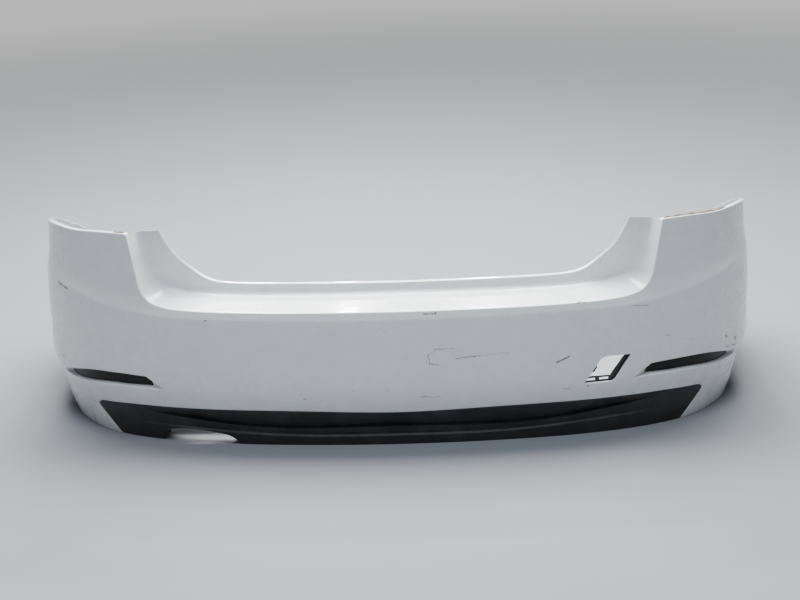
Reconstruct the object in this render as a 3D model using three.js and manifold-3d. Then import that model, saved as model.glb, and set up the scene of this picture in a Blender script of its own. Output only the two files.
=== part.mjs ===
// Rear bumper cover of a mid-size saloon, with the pieces that stay on it when it leaves the car:
// painted skin, black lower valance, smoked reflectors, exhaust heat shield, clips and rivets.
// Millimetres. +X to the right seen from behind the car, +Y towards its front, +Z up.
import * as THREE from 'three';
import { mergeVertices } from 'three/addons/utils/BufferGeometryUtils.js';
import Module from 'manifold-3d';

const wasm = await Module();
wasm.setup();

// ---------------------------------------------------------------- driving dimensions
const PLAN_DEPTH = 742;       // rearmost point of the plan line to its front end
const WALL = 3;               // moulded wall of skin and valance
const GAP = 0.4;              // clearance between neighbouring pieces
const LEG_TOP_X = 616;        // outer top corner of each lamp leg
const LEG_STEPS = 14;         // facets along the shelf edge from the middle to a leg's top
const SIDE_STEPS = 10;        // facets from a lamp leg round to the wheel arch
const RETURN = 26;            // inward flange along the bottom and the wheel arch
const RIM = 11;               // inward rim under the lamp
const ARCH = { y: 1010, z: 80, r: 350 };  // wheel-arch circle in side view
const BULGE_FROM_X = 790;     // the corner starts to swell here
const BULGE_FULL_Y = 310;     // and is fully swollen here
const LEAN_FROM_Y = 420;      // forward of this the facets lean to meet the wheel arch
const CREASE_TURN = 12;       // how far the face steps back above the crease
const CREASE_TURN_CORNER = 8; // and how much further at the corners
const CREASE_ROUND = 25;      // height over which it turns, on the rear and more at the corners
const CREASE_ROUND_CORNER = 50;
const RIVET_X = [-450, -270, -90, 90, 270, 450];
const FACE_ROWS = [0, 20, 60, 94, 125, 152, 180, 215];  // heights of the facets below the crease
const ARCH_CLIP_ROWS = [1, 4, 6];       // each clip sits between this row and the next
const ARCH_HOLE_INSET = 14;   // screw points behind the wheel-arch edge
const SCREW_HOLE = 3.4;       // radius
const LAMP_TAB_X = 690;
const LAMP_TAB = { half: 14, root: 1, reach: 38, hole: 24, z: 500 };
// Tabs on the skin's inside that the valance's own tabs meet: depths behind the plan line, heights.
const TAB = { half: 11, depth0: 30, depth1: 33, z0: 101, z1: 134, holeZ: 112, holeR: 4.2 };
const TAB_ROOT = { depth: 8, thick: 4 };    // bridge from the face to the skin's tab
const VALANCE_TAB = { z0: 80, z1: 126, rootZ: 82, rootDepth: 11, thick: 4 };

// Half outline in plan: [x, y]. The other half mirrors it.
const PLAN = [[0, 0], [250, 9], [480, 36], [640, 78], [745, 132], [815, 205], [855, 300],
  [870, 420], [875, 560], [877, PLAN_DEPTH]];
// Channel under the boot lid, each line as [x, z] from the middle up the lamp leg.
const SHELF_EDGE = [[0, 351], [300, 351], [480, 353], [556, 362], [585, 380], [598, 410],
  [607, 470], [LEG_TOP_X, 530]];
const GUTTER_ROOT = [[0, 365], [300, 363], [455, 364], [522, 369], [560, 390], [582, 420],
  [597, 470], [606, 528]];
const GUTTER_LIP = [[0, 390], [300, 390], [430, 393], [478, 411], [512, 438], [534, 468],
  [549, 505], [556, 528]];
const GUTTER_DEPTH = [90, 50];        // root behind the face, in the middle and at the leg's top
const LIP_DEPTH = [96, 60];
// Top edge of the lower valance and its slanted ends: [x, z].
const VALANCE_TOP = [[0, 94], [200, 99], [500, 100], [600, 99], [652, 97], [720, 91]];
const VALANCE_CORNER = [[744, 85], [754, 74]];
const VALANCE_FOOT_X = 703;
const VALANCE_TOP_STEPS = 16;
// Two steps of the valance's face: heights over |x|, and how deep each one goes in the middle.
const VALANCE_REACH = 757;
const VALANCE_COLUMNS = 24;
const UPPER_STEP_Z = [[0, 50], [360, 50], [430, 58], [500, 67], [560, 75], [620, 82], [VALANCE_REACH, 88]];
const LOWER_STEP_Z = [[0, 27], [300, 29], [370, 33], [450, 38], [560, 44], [VALANCE_REACH, 50]];
const LOWER_STEP_DEPTH = 6;
const STEP_TOP_DEPTH = 5;     // the lower band just under the upper step
const UPPER_STEP_DEPTH = 14;
const MIDDLE_DEPTH = 9;       // the upper band halfway up
const LOWER_BAND_DEPTH = 29;
const STEPS_FADE_X = [480, 660];
const VALANCE_FLANGE = 74;    // bottom flange: how far it reaches behind the plan line
const VALANCE_EDGE = [[36, 0], [33, 5]];    // the face's lower edge: [depth, z]
const VALANCE_TUCK = 1;       // behind the skin's face along the top edge
const VALANCE_BACK_Z = [93, 104];
// Exhaust cut-out in the valance's lower edge: [x, z].
const NOTCH = [[-583, -8], [-582, 12], [-574, 24], [-562, 32], [-540, 36], [-501, 37], [-450, 32],
  [-416, 24], [-399, 13], [-378, -8]];
// Reflector slot: heights over |x|.
const SLOT_TOP = [[556, 151], [598, 180], [645, 181], [693, 179.5], [750, 172], [798, 155], [832, 138]];
const SLOT_LEDGE = [[556, 149], [608, 147], [672, 145], [726, 140], [780, 132], [832, 127]];
const LENS_FOOT = [[556, 150], [584, 153], [634, 151], [700, 148], [750, 141], [788, 135], [832, 129]];
const LENS_DEPTH = 14;
const LENS_THICK = 8;
const LENS_PLAY = 0.4;        // more air below the lens than above it
const SLOT_WEDGE_X = 556;
const LENS_IN_TOP_X = 598;
const LENS_IN_FOOT_X = 584;
const LENS_OUT_X = 830;
const WINDOW_X = [620, 770];   // window in the pocket's floor, where the housing sits
const POCKET_STEPS = 12;
const WINDOW_STEPS = 9;
const WINDOW_MARGIN = 6;      // below the lens's top edge and above its foot
const HOUSING_DEPTH = 38;
const HOUSING_PLATE = { margin: 8, overlap: 4, thick: 2.5 };
// Tow-eye opening on the right: [x, z] of the recess for its cap, and of the way through its floor.
const TOW_EYE = [[436, 147], [505, 146], [512, 152], [548, 211], [488, 213], [474, 207]];
const TOW_WAY = [[452, 160], [503, 159], [537, 209], [491, 211], [478, 205]];
const TOW_DEPTH = 12;
const TOW_FRAME_X = [428, 470, 512, 556];
const TOW_FRAME_Z = [140, 219];
const CAP_SLOTS_X = [[443, 463], [475, 497]];
const CAP_SLOTS_Z = [149.5, 155];
// Heat shield over the exhaust cut-out, on two studs.
const SHIELD_Y = 122;         // front face of the shield's flange
const SHIELD_LENGTH = 110;
const SHIELD_RISE = 11;       // air between the cut-out and the shield
const SHIELD_SHEET = 1.2;
const SHIELD_TOP_Z = 90;
const EAR = { half: 9, z0: 38, z1: 70 };
const STUD_X = [-556, -424];
const STUD = { z: 61, padR: 5, r: 2, length: 14, sunk: 2, holeR: 2.5 };
const STUD_PAD_DEPTH = [27.2, 37.5];  // each pad starts inside the valance's wall
const NUT = { bore: 2.4, rim: 8, rimThick: 1, crown: 4.5, height: 2.6 };
const RIVET = { head: 8, headThick: 1.6, headTaper: 0.8, shank: 3.8, bore: 2.3, grip: 11,
  pinHead: 4.6, pinHeadThick: 1.5, pinTaper: 0.7, pinShaft: 2.1, pinLift: 0.3, pinTip: 1 };
const CLIP = { half: 8, sheet: 0.9, lead: 9, collarR: 5, collar: 3.8, holeR: 2.6 };
const FOAM = { depth: 4, width: 6.5, height: 4 };
const FOAM_LEFT_X = [622, 650];
const FOAM_RIGHT_X = [622, 790];
const TURNED_FACETS = 12;

const PAINT = { color: 0xe4e5e6, roughness: 0.25, metalness: 0.0 };
const GRAINED_BLACK = { color: 0x17181a, roughness: 0.65, metalness: 0.0 };
const SMOKED = { color: 0x202422, roughness: 0.2, metalness: 0.0 };
const HOUSING_GREY = { color: 0x3a3c3e, roughness: 0.6, metalness: 0.0 };
const SHEET_METAL = { color: 0xb4b6b8, roughness: 0.45, metalness: 0.9 };
const SPRING_STEEL = { color: 0x54575c, roughness: 0.4, metalness: 0.8 };
const RIVET_BLACK = { color: 0x1c1c1e, roughness: 0.55, metalness: 0.0 };
const FOAM_BROWN = { color: 0x7a6048, roughness: 0.95, metalness: 0.0 };

// ---------------------------------------------------------------- curves
// Natural cubic spline through [t, value] points.
function spline(points) {
  const n = points.length;
  const bend = new Array(n).fill(0);
  const pivot = new Array(n).fill(0);
  for (let i = 1; i < n - 1; i++) {
    const before = points[i][0] - points[i - 1][0];
    const after = points[i + 1][0] - points[i][0];
    const slopes = (points[i + 1][1] - points[i][1]) / after - (points[i][1] - points[i - 1][1]) / before;
    const share = before / (before + after);
    const p = share * pivot[i - 1] + 2;
    pivot[i] = (share - 1) / p;
    bend[i] = (6 * slopes / (before + after) - share * bend[i - 1]) / p;
  }
  for (let i = n - 2; i >= 0; i--) {
    bend[i] += pivot[i] * bend[i + 1];
  }
  return (t) => {
    let k = 0;
    while (k < n - 2 && t > points[k + 1][0]) k++;
    const h = points[k + 1][0] - points[k][0];
    const a = (points[k + 1][0] - t) / h;
    const b = 1 - a;
    const curl = ((a ** 3 - a) * bend[k] + (b ** 3 - b) * bend[k + 1]) * h * h / 6;
    return a * points[k][1] + b * points[k + 1][1] + curl;
  };
}

// The same, for a line that mirrors about the middle.
function evenSpline(points) {
  const left = points.filter(([t]) => t > 0).map(([t, v]) => [-t, v]).reverse();
  return spline([...left, ...points]);
}

const mix = THREE.MathUtils.lerp;
const smooth = THREE.MathUtils.smoothstep;

const planStations = [0];
for (let i = 1; i < PLAN.length; i++) {
  const [[x0, y0], [x1, y1]] = [PLAN[i - 1], PLAN[i]];
  planStations.push(planStations[i - 1] + Math.hypot(x1 - x0, y1 - y0));
}
const STATION_END = planStations.at(-1);
const mirrored = PLAN.map(([x], i) => [planStations[i], x]);
const planX = spline([...mirrored.slice(1).map(([s, x]) => [-s, -x]).reverse(), ...mirrored]);
const planY = evenSpline(PLAN.map(([, y], i) => [planStations[i], y]));

// Inward unit normal of the plan line at a station, as [x, y].
function inward(station) {
  const step = 0.5;
  const dx = planX(station + step) - planX(station - step);
  const dy = planY(station + step) - planY(station - step);
  const length = Math.hypot(dx, dy);
  return [-dy / length, dx / length];
}

function bisect(valueAt, target, low, high) {
  for (let i = 0; i < 50; i++) {
    const mid = (low + high) / 2;
    if (valueAt(mid) < target) low = mid;
    else high = mid;
  }
  return (low + high) / 2;
}
const stationAtX = (x) => Math.sign(x) * bisect(planX, Math.abs(x), 0, STATION_END);
const stationAtY = (y) => bisect(planY, y, 0, STATION_END);

// Point on the cover: a station along the plan, a depth behind the plan line and a height.
function at(station, depth, z) {
  const [nx, ny] = inward(station);
  return new THREE.Vector3(planX(station) + nx * depth, planY(station) + ny * depth, z);
}
const atX = (x, depth, z) => at(stationAtX(x), depth, z);
const heightOver = (points) => {
  const curve = spline(points);
  return (station) => curve(Math.abs(planX(station)));
};

// ---------------------------------------------------------------- the skin's face
const creaseZ = evenSpline([[0, 332], [stationAtX(430), 335], [stationAtX(560), 339],
  [stationAtX(650), 351], [stationAtX(740), 369], [stationAtX(826), 385], [stationAtY(330), 386],
  [stationAtY(450), 371], [STATION_END, 296]]);
const lampZ = spline([[stationAtX(LEG_TOP_X), 530], [stationAtX(700), 528], [stationAtX(750), 523.5],
  [stationAtX(806), 520], [stationAtY(317), 500], [stationAtY(520), 428], [STATION_END, 322]]);
const rearDepth = spline([[0, 34], [50, 25], [94, 15], [150, 4], [220, 1.5], [300, 0]]);
const cornerDepth = spline([[0, 20], [40, 9], [90, 0], [125, -9], [152, -19], [210, -20], [300, -17],
  [386, -10]]);
const BULGE_START = stationAtX(BULGE_FROM_X);
const BULGE_FULL = stationAtY(BULGE_FULL_Y);

// Depth of the outer face behind the plan line.
function faceDepth(station, z) {
  const corner = smooth(Math.abs(station), BULGE_START, BULGE_FULL);
  const crease = creaseZ(station);
  const rear = z < 300 ? rearDepth(z) : 0;
  const base = mix(rear, cornerDepth(Math.min(z, 386)), corner);
  const above = Math.max(0, z - crease);
  const turn = CREASE_TURN + CREASE_TURN_CORNER * corner;
  return base + turn * (1 - Math.exp(-above / (CREASE_ROUND + CREASE_ROUND_CORNER * corner)));
}

// Beyond this station the columns lean so that the last one follows the wheel arch.
const LEAN_FROM = stationAtY(LEAN_FROM_Y);
const ARCH_TOP_Z = lampZ(STATION_END);
function leaned(station, z) {
  const side = Math.abs(station);
  if (side <= LEAN_FROM) return station;
  const archY = ARCH.y - Math.sqrt(ARCH.r ** 2 - (Math.min(z, ARCH_TOP_Z) - ARCH.z) ** 2);
  const archStation = STATION_END - (PLAN_DEPTH - archY);
  const share = (side - LEAN_FROM) / (STATION_END - LEAN_FROM);
  return Math.sign(station) * (LEAN_FROM + share * (archStation - LEAN_FROM));
}
const onFace = (station, z) => at(leaned(station, z), faceDepth(station, z), z);
const behindFace = (station, z, extra) => at(leaned(station, z), faceDepth(station, z) + extra, z);

// ---------------------------------------------------------------- meshes
// Quads between neighbouring columns of points; a column runs upwards, columns run to +X.
function gridTriangles(columns) {
  const triangles = [];
  for (let i = 0; i + 1 < columns.length; i++) {
    for (let j = 0; j + 1 < columns[i].length; j++) {
      const [a, b, c, d] = [columns[i][j], columns[i + 1][j], columns[i + 1][j + 1], columns[i][j + 1]];
      triangles.push([a, b, c], [a, c, d]);
    }
  }
  return triangles;
}

// Indexed vertices and faces from loose triangles; points that coincide become one.
function indexed(triangles) {
  const points = [];
  const seen = new Map();
  const index = (p) => {
    const key = [p.x, p.y, p.z].map((v) => Math.round(v * 1e3)).join();
    if (!seen.has(key)) seen.set(key, points.push(p) - 1);
    return seen.get(key);
  };
  const faces = triangles.map((t) => t.map(index)).filter(([a, b, c]) => a !== b && b !== c && c !== a);
  return { points, faces };
}

function solidFrom(points, faces) {
  const mesh = new wasm.Mesh({
    numProp: 3,
    vertProperties: new Float32Array(points.flatMap((p) => [p.x, p.y, p.z])),
    triVerts: new Uint32Array(faces.flat()),
  });
  return new wasm.Manifold(mesh);
}

const SAME_FACET = 0.97;      // cosine between facets that count as one when a corner moves inwards
// Closed wall from an open sheet: the inner side lies `thickness` behind the outer one.
function thicken(triangles, thickness) {
  const { points, faces } = indexed(triangles);
  const around = points.map(() => []);
  const edges = new Map();
  const side1 = new THREE.Vector3();
  const side2 = new THREE.Vector3();
  for (const face of faces) {
    const [a, b, c] = face.map((i) => points[i]);
    side1.subVectors(b, a);
    side2.subVectors(c, a);
    const normal = new THREE.Vector3().crossVectors(side1, side2).normalize();
    face.forEach((i, k) => {
      around[i].push(normal);
      edges.set(`${i},${face[(k + 1) % 3]}`, [i, face[(k + 1) % 3]]);
    });
  }
  const inner = points.map((p, i) => {
    const distinct = around[i].filter((n, k) => !around[i].slice(0, k).some((m) => m.dot(n) > SAME_FACET));
    const mean = distinct.reduce((sum, n) => sum.add(n), new THREE.Vector3()).normalize();
    const lean = Math.max(0.5, Math.min(...distinct.map((n) => n.dot(mean))));
    return p.clone().addScaledVector(mean, -thickness / lean);
  });
  const shift = points.length;
  const all = [...faces, ...faces.map(([a, b, c]) => [a + shift, c + shift, b + shift])];
  for (const [a, b] of edges.values()) {
    if (!edges.has(`${b},${a}`)) {
      all.push([b, a, a + shift], [b, a + shift, b + shift]);
    }
  }
  return solidFrom([...points, ...inner], all);
}

// Solid through a row of matching convex sections.
function loft(sections) {
  const count = sections[0].length;
  const points = sections.flat();
  const faces = [];
  for (let i = 0; i + 1 < sections.length; i++) {
    for (let j = 0; j < count; j++) {
      const a = i * count + j;
      const b = i * count + (j + 1) % count;
      faces.push([a, b, b + count], [a, b + count, a + count]);
    }
  }
  const last = (sections.length - 1) * count;
  for (let j = 1; j + 1 < count; j++) {
    faces.push([0, j + 1, j], [last, last + j, last + j + 1]);
  }
  const solid = solidFrom(points, faces);
  if (solid.volume() > 0) return solid;
  return solidFrom(points, faces.map(([a, b, c]) => [a, c, b]));
}

function fromGeometry(geometry) {
  const bare = geometry.clone();
  bare.deleteAttribute('normal');
  bare.deleteAttribute('uv');
  const merged = mergeVertices(bare, 1e-4);
  const mesh = new wasm.Mesh({
    numProp: 3,
    vertProperties: new Float32Array(merged.attributes.position.array),
    triVerts: new Uint32Array(merged.index.array),
  });
  return new wasm.Manifold(mesh);
}

function toGeometry(solid) {
  const mesh = solid.getMesh();
  const geometry = new THREE.BufferGeometry();
  geometry.setAttribute('position', new THREE.BufferAttribute(Float32Array.from(mesh.vertProperties), 3));
  geometry.setIndex(new THREE.BufferAttribute(Uint32Array.from(mesh.triVerts), 1));
  return geometry;
}

// Outline in x and z, pushed along Y from `front` to `back`.
function prism(outline, front, back) {
  const shape = new THREE.Shape(outline.map(([x, z]) => new THREE.Vector2(x, z)));
  const geometry = new THREE.ExtrudeGeometry(shape, { depth: back - front, bevelEnabled: false });
  geometry.rotateX(Math.PI / 2);
  geometry.translate(0, back, 0);
  return fromGeometry(geometry);
}

// Box between two corners in the local frame of a place on the cover:
// along the plan, behind the plan line, upwards.
function localBox(x, [along0, along1], [depth0, depth1], [z0, z1]) {
  const station = stationAtX(x);
  const section = (along) => [[depth0, z0], [depth1, z0], [depth1, z1], [depth0, z1]]
    .map(([depth, z]) => at(station + along, depth, z));
  return loft([section(along0), section(along1)]);
}

// Turned solid: profile of [radius, height] on a spindle that starts at `from` and points to `axis`.
function turned(profile, from, axis) {
  const outline = profile.map(([r, h]) => new THREE.Vector2(r, h));
  const geometry = new THREE.LatheGeometry(outline, TURNED_FACETS);
  geometry.applyQuaternion(new THREE.Quaternion().setFromUnitVectors(new THREE.Vector3(0, 1, 0), axis));
  geometry.translate(from.x, from.y, from.z);
  return fromGeometry(geometry);
}

// Plain round bar or hole.
function rod(radius, length, from, axis) {
  return turned([[0, 0], [radius, 0], [radius, length], [0, length]], from, axis);
}
const FORWARD = new THREE.Vector3(0, 1, 0);
const UP = new THREE.Vector3(0, 0, 1);
const inwardVector = (station) => new THREE.Vector3(...inward(station), 0);

// ---------------------------------------------------------------- painted skin
const shelfX = spline(SHELF_EDGE.map(([x], i) => [i, x]));
const shelfZ = spline(SHELF_EDGE.map(([, z], i) => [i, z]));
const rootX = spline(GUTTER_ROOT.map(([x], i) => [i, x]));
const rootZ = spline(GUTTER_ROOT.map(([, z], i) => [i, z]));
const lipX = spline(GUTTER_LIP.map(([x], i) => [i, x]));
const lipZ = spline(GUTTER_LIP.map(([, z], i) => [i, z]));
const LAST = SHELF_EDGE.length - 1;

// One column of the face from the bottom flange to the top edge.
function faceColumn(station, topZ) {
  const crease = creaseZ(station);
  const middle = [0.5, 0.95, 1].map((share) => mix(FACE_ROWS.at(-1), crease, share));
  const high = [0.15, 0.5, 1].map((share) => mix(crease, topZ, share));
  const face = [...FACE_ROWS, ...middle, ...high].map((z) => onFace(station, z));
  return [behindFace(station, 0, RETURN), ...face];
}

function skinSheet() {
  const inner = [];
  const outer = [];
  for (let i = -LEG_STEPS; i <= LEG_STEPS; i++) {
    const t = Math.abs(i) / LEG_STEPS * LAST;
    const side = Math.sign(i) || 1;
    const station = stationAtX(side * shelfX(t));
    const edge = shelfZ(t);
    const up = smooth(t, 3, LAST);
    const bend = atX(side * rootX(t), mix(...GUTTER_DEPTH, up), rootZ(t));
    const lip = atX(side * lipX(t), mix(...LIP_DEPTH, up), lipZ(t));
    inner.push(faceColumn(station, edge));
    outer.push([onFace(station, edge), behindFace(station, edge, RIM), bend, lip]);
  }
  const triangles = [...gridTriangles(inner), ...gridTriangles(outer)];
  const legStation = stationAtX(LEG_TOP_X);
  for (const side of [-1, 1]) {
    const columns = [];
    const rim = [];
    for (let i = 0; i <= SIDE_STEPS; i++) {
      const station = mix(legStation, STATION_END, i / SIDE_STEPS);
      const top = lampZ(station);
      const width = mix(RIM, RETURN, smooth(station, LEAN_FROM, STATION_END));
      columns.push(faceColumn(side * station, top));
      rim.push([onFace(side * station, top), behindFace(side * station, top, width)]);
    }
    const end = columns.at(-1).slice(1);
    const inside = end.map((p, j) => (j === 0 ? columns.at(-1)[0]
      : behindFace(side * STATION_END, p.z, RETURN)));
    const flange = [end, inside];
    const ordered = side > 0 ? [columns, rim, flange]
      : [columns.reverse(), rim.reverse(), flange.reverse()];
    triangles.push(...ordered.flatMap(gridTriangles));
  }
  return triangles;
}

// Outline of the valance in front view; `shrink` makes the piece smaller than its opening.
function valanceOutline(shrink) {
  const top = evenSpline(VALANCE_TOP);
  const last = VALANCE_TOP.at(-1)[0];
  const right = [];
  for (let i = 0; i <= VALANCE_TOP_STEPS; i++) {
    const x = i / VALANCE_TOP_STEPS * last;
    right.push([x, top(x) - shrink]);
  }
  right.push(...VALANCE_CORNER.map(([x, z]) => [x - shrink, z - shrink]));
  const slope = (VALANCE_CORNER.at(-1)[0] - VALANCE_FOOT_X) / VALANCE_CORNER.at(-1)[1];
  right.push([VALANCE_FOOT_X - shrink - 12 * slope, -12]);
  const left = right.slice(1).map(([x, z]) => [-x, z]).reverse();
  return [...left, ...right];
}

const slotTopZ = heightOver(SLOT_TOP);
const slotLedgeZ = heightOver(SLOT_LEDGE);
const lensFootZ = heightOver(LENS_FOOT);

// Stations of a reflector part, with the inboard end leaning: top and foot may differ.
function reflectorStations(side, topX, footX, outX, count) {
  const out = stationAtX(outX);
  return Array.from({ length: count + 1 }, (_, i) => [topX, footX]
    .map((x) => side * mix(stationAtX(x), out, i / count)));
}

// The moulded pocket behind a reflector slot, then what is cut out of it.
function reflectorPocket(side) {
  const back = LENS_DEPTH + LENS_THICK + GAP + WALL;
  const block = loft(reflectorStations(side, SLOT_WEDGE_X + 6, SLOT_WEDGE_X + 6, LENS_OUT_X + 3, POCKET_STEPS)
    .map(([s]) => {
      const [low, high] = [slotLedgeZ(s) - WALL, slotTopZ(s) + WALL];
      return [at(s, faceDepth(s, low) + 1, low), at(s, back, low), at(s, back, high),
        at(s, faceDepth(s, high) + 1, high)];
    }));
  const clear = -60;
  const front = (depth) => ([top, foot]) => [at(foot, clear, slotLedgeZ(foot)),
    at(foot, faceDepth(foot, slotLedgeZ(foot)), slotLedgeZ(foot)), at(foot, depth, lensFootZ(foot)),
    at(top, depth, slotTopZ(top)), at(top, clear, slotTopZ(top))];
  const recess = loft(reflectorStations(side, LENS_IN_TOP_X, LENS_IN_FOOT_X, LENS_OUT_X, POCKET_STEPS)
    .map(front(LENS_DEPTH + LENS_THICK + GAP)));
  const wedge = loft(reflectorStations(side, SLOT_WEDGE_X, SLOT_WEDGE_X, LENS_IN_TOP_X, 3)
    .map((pair, i) => front(mix(faceDepth(pair[0], 150) - 0.5, LENS_DEPTH, i / 3))(pair)));
  const windowIn = loft(reflectorStations(side, WINDOW_X[0], WINDOW_X[0], WINDOW_X[1], WINDOW_STEPS)
    .map(([s]) => windowSection(s, LENS_DEPTH, back + 4, 0)));
  return { block, cut: recess.add(wedge).add(windowIn) };
}

// Section of the window behind a lens, or of what sits in it.
function windowSection(station, depth0, depth1, shrink) {
  const low = lensFootZ(station) + WINDOW_MARGIN + shrink;
  const high = slotTopZ(station) - WINDOW_MARGIN - shrink;
  return [at(station, depth0, low), at(station, depth1, low), at(station, depth1, high),
    at(station, depth0, high)];
}

const rivetAxis = (x) => inwardVector(stationAtX(x));

function skinTab(x) {
  const { half, depth0, depth1, z0, z1 } = TAB;
  const plate = localBox(x, [-half, half], [depth0, depth1], [z0, z1]);
  return plate.add(localBox(x, [-half, half], [TAB_ROOT.depth, depth1], [z1 - TAB_ROOT.thick, z1]));
}

function lampTab(side) {
  const { half, root, reach, z } = LAMP_TAB;
  const x = side * LAMP_TAB_X;
  const depth = faceDepth(stationAtX(x), z) + root;
  return localBox(x, [-half, half], [depth, depth + reach], [z - WALL, z]);
}

// Middle of a lamp tab's hole, on its upper face.
function lampHole(side) {
  const { root, hole, z } = LAMP_TAB;
  return atX(side * LAMP_TAB_X, faceDepth(stationAtX(LAMP_TAB_X), z) + root + hole, z);
}

// Frame of a screw point on the wheel-arch flange, in the middle of the facet above a row.
function archPoint(side, row) {
  const [low, high] = [FACE_ROWS[row], FACE_ROWS[row + 1]];
  const station = side * STATION_END;
  const edge = onFace(station, low).lerp(onFace(station, high), 0.5);
  const inner = behindFace(station, low, RETURN).lerp(behindFace(station, high, RETURN), 0.5);
  const up = onFace(station, high).sub(onFace(station, low)).normalize();
  const across = inner.clone().sub(edge).normalize();
  const out = new THREE.Vector3().crossVectors(up, across).multiplyScalar(-side).normalize();
  return { origin: edge.clone().addScaledVector(across, ARCH_HOLE_INSET), across, up, out };
}

function withTowEye(skin) {
  const [low, high] = TOW_FRAME_Z;
  const frame = loft(TOW_FRAME_X.map((x) => {
    const s = stationAtX(x);
    const back = TOW_DEPTH + WALL;
    return [at(s, faceDepth(s, low) + 1, low), at(s, back, low), at(s, back, high),
      at(s, faceDepth(s, high) + 1, high)];
  }));
  const floorY = (x) => planY(stationAtX(x)) + TOW_DEPTH;
  const bar = (outline, front, back) => loft([front, back]
    .map((y) => outline.map(([x, z]) => new THREE.Vector3(x, floorY(x) + y, z))));
  const made = skin.add(frame).subtract(bar(TOW_EYE, -40, 0)).subtract(bar(TOW_WAY, -30, 40));
  const [z0, z1] = CAP_SLOTS_Z;
  const slots = CAP_SLOTS_X.map(([x0, x1]) => prism([[x0, z0], [x1, z0], [x1, z1], [x0, z1]],
    floorY(x0) - 20, floorY(x1) + 20));
  return slots.reduce((solid, slot) => solid.subtract(slot), made);
}

function bumperSkin() {
  let skin = thicken(skinSheet(), WALL);
  skin = skin.subtract(prism(valanceOutline(0), -40, 260));
  for (const side of [-1, 1]) {
    const { block, cut } = reflectorPocket(side);
    skin = skin.add(block).subtract(cut).add(lampTab(side));
    skin = skin.subtract(rod(SCREW_HOLE, 12, lampHole(side).setZ(LAMP_TAB.z - 8), UP));
    for (const row of ARCH_CLIP_ROWS) {
      const { origin, out } = archPoint(side, row);
      skin = skin.subtract(rod(SCREW_HOLE, 16, origin.clone().addScaledVector(out, -8), out));
    }
  }
  for (const x of RIVET_X) {
    skin = skin.add(skinTab(x));
    skin = skin.subtract(rod(TAB.holeR, 12, atX(x, TAB.depth0 - 4, TAB.holeZ), rivetAxis(x)));
  }
  return withTowEye(skin);
}

// ---------------------------------------------------------------- lower valance
const upperStep = evenSpline(UPPER_STEP_Z);
const lowerStep = evenSpline(LOWER_STEP_Z);

// One column of the valance's face, from the back of its bottom flange to above its top edge.
function valanceColumn(x) {
  const station = stationAtX(x);
  const relief = 1 - smooth(Math.abs(x), ...STEPS_FADE_X);
  const flush = (z) => rearDepth(Math.max(0, z));
  const [upper, lower] = [upperStep(x), lowerStep(x)];
  const middle = mix(upper, 99, 0.6);
  const [backLow, backHigh] = VALANCE_BACK_Z;
  const rows = [
    [VALANCE_FLANGE, 0],
    ...VALANCE_EDGE,
    [LOWER_BAND_DEPTH + 2 * (1 - relief), lower - 2],
    [flush(lower) + LOWER_STEP_DEPTH * relief, lower + 2],
    [flush(upper) + STEP_TOP_DEPTH * relief, upper - 3],
    [flush(upper) + UPPER_STEP_DEPTH * relief, upper + 2],
    [flush(middle) + MIDDLE_DEPTH * relief, middle],
    [flush(backLow) + VALANCE_TUCK, backLow],
    [flush(backHigh) + VALANCE_TUCK, backHigh],
  ];
  return rows.map(([depth, z]) => at(station, depth, z));
}

function valanceTab(x) {
  const { z0, z1, rootZ, rootDepth, thick } = VALANCE_TAB;
  const across = [-TAB.half, TAB.half];
  const [near, far] = [TAB.depth1 + GAP, TAB.depth1 + GAP + WALL];
  const root = localBox(x, across, [rearDepth(rootZ) + rootDepth, far], [z0, z0 + thick]);
  return localBox(x, across, [near, far], [z0, z1]).add(root);
}

// Outline of the exhaust cut-out, grown outwards and upwards.
const grownNotch = (grow) => {
  const mid = (NOTCH[0][0] + NOTCH.at(-1)[0]) / 2;
  return NOTCH.map(([x, z]) => [x + grow * Math.sign(x - mid), z + (z > 0 ? grow : 0)]);
};

// Wall around the exhaust cut-out, inside the valance.
function notchWall() {
  const [front, back, top] = [LOWER_BAND_DEPTH + 2, VALANCE_FLANGE + 2, 52];
  const reach = loft([-600, -520, -440, -360].map((x) => [
    atX(x, front, 0), atX(x, back, 0), atX(x, back, top), atX(x, front, top)]));
  return prism(grownNotch(WALL), 0, 200).intersect(reach);
}

function lowerValance() {
  const columns = [];
  for (let i = 0; i <= VALANCE_COLUMNS; i++) {
    columns.push(valanceColumn(mix(-VALANCE_REACH, VALANCE_REACH, i / VALANCE_COLUMNS)));
  }
  let valance = thicken(gridTriangles(columns), WALL).intersect(prism(valanceOutline(GAP), -60, 300));
  for (const x of RIVET_X) {
    valance = valance.add(valanceTab(x));
    valance = valance.subtract(rod(TAB.holeR, 12, atX(x, TAB.depth1 - 3, TAB.holeZ), rivetAxis(x)));
  }
  valance = valance.add(notchWall()).subtract(prism(grownNotch(0), -20, 260));
  for (const [i, x] of STUD_X.entries()) {
    const pad = new THREE.Vector3(x, atX(x, STUD_PAD_DEPTH[i], STUD.z).y, STUD.z);
    const stud = new THREE.Vector3(x, SHIELD_Y - STUD.sunk, STUD.z);
    valance = valance.add(rod(STUD.padR, SHIELD_Y - GAP - pad.y, pad, FORWARD));
    valance = valance.add(rod(STUD.r, STUD.length, stud, FORWARD));
  }
  return valance;
}

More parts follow.
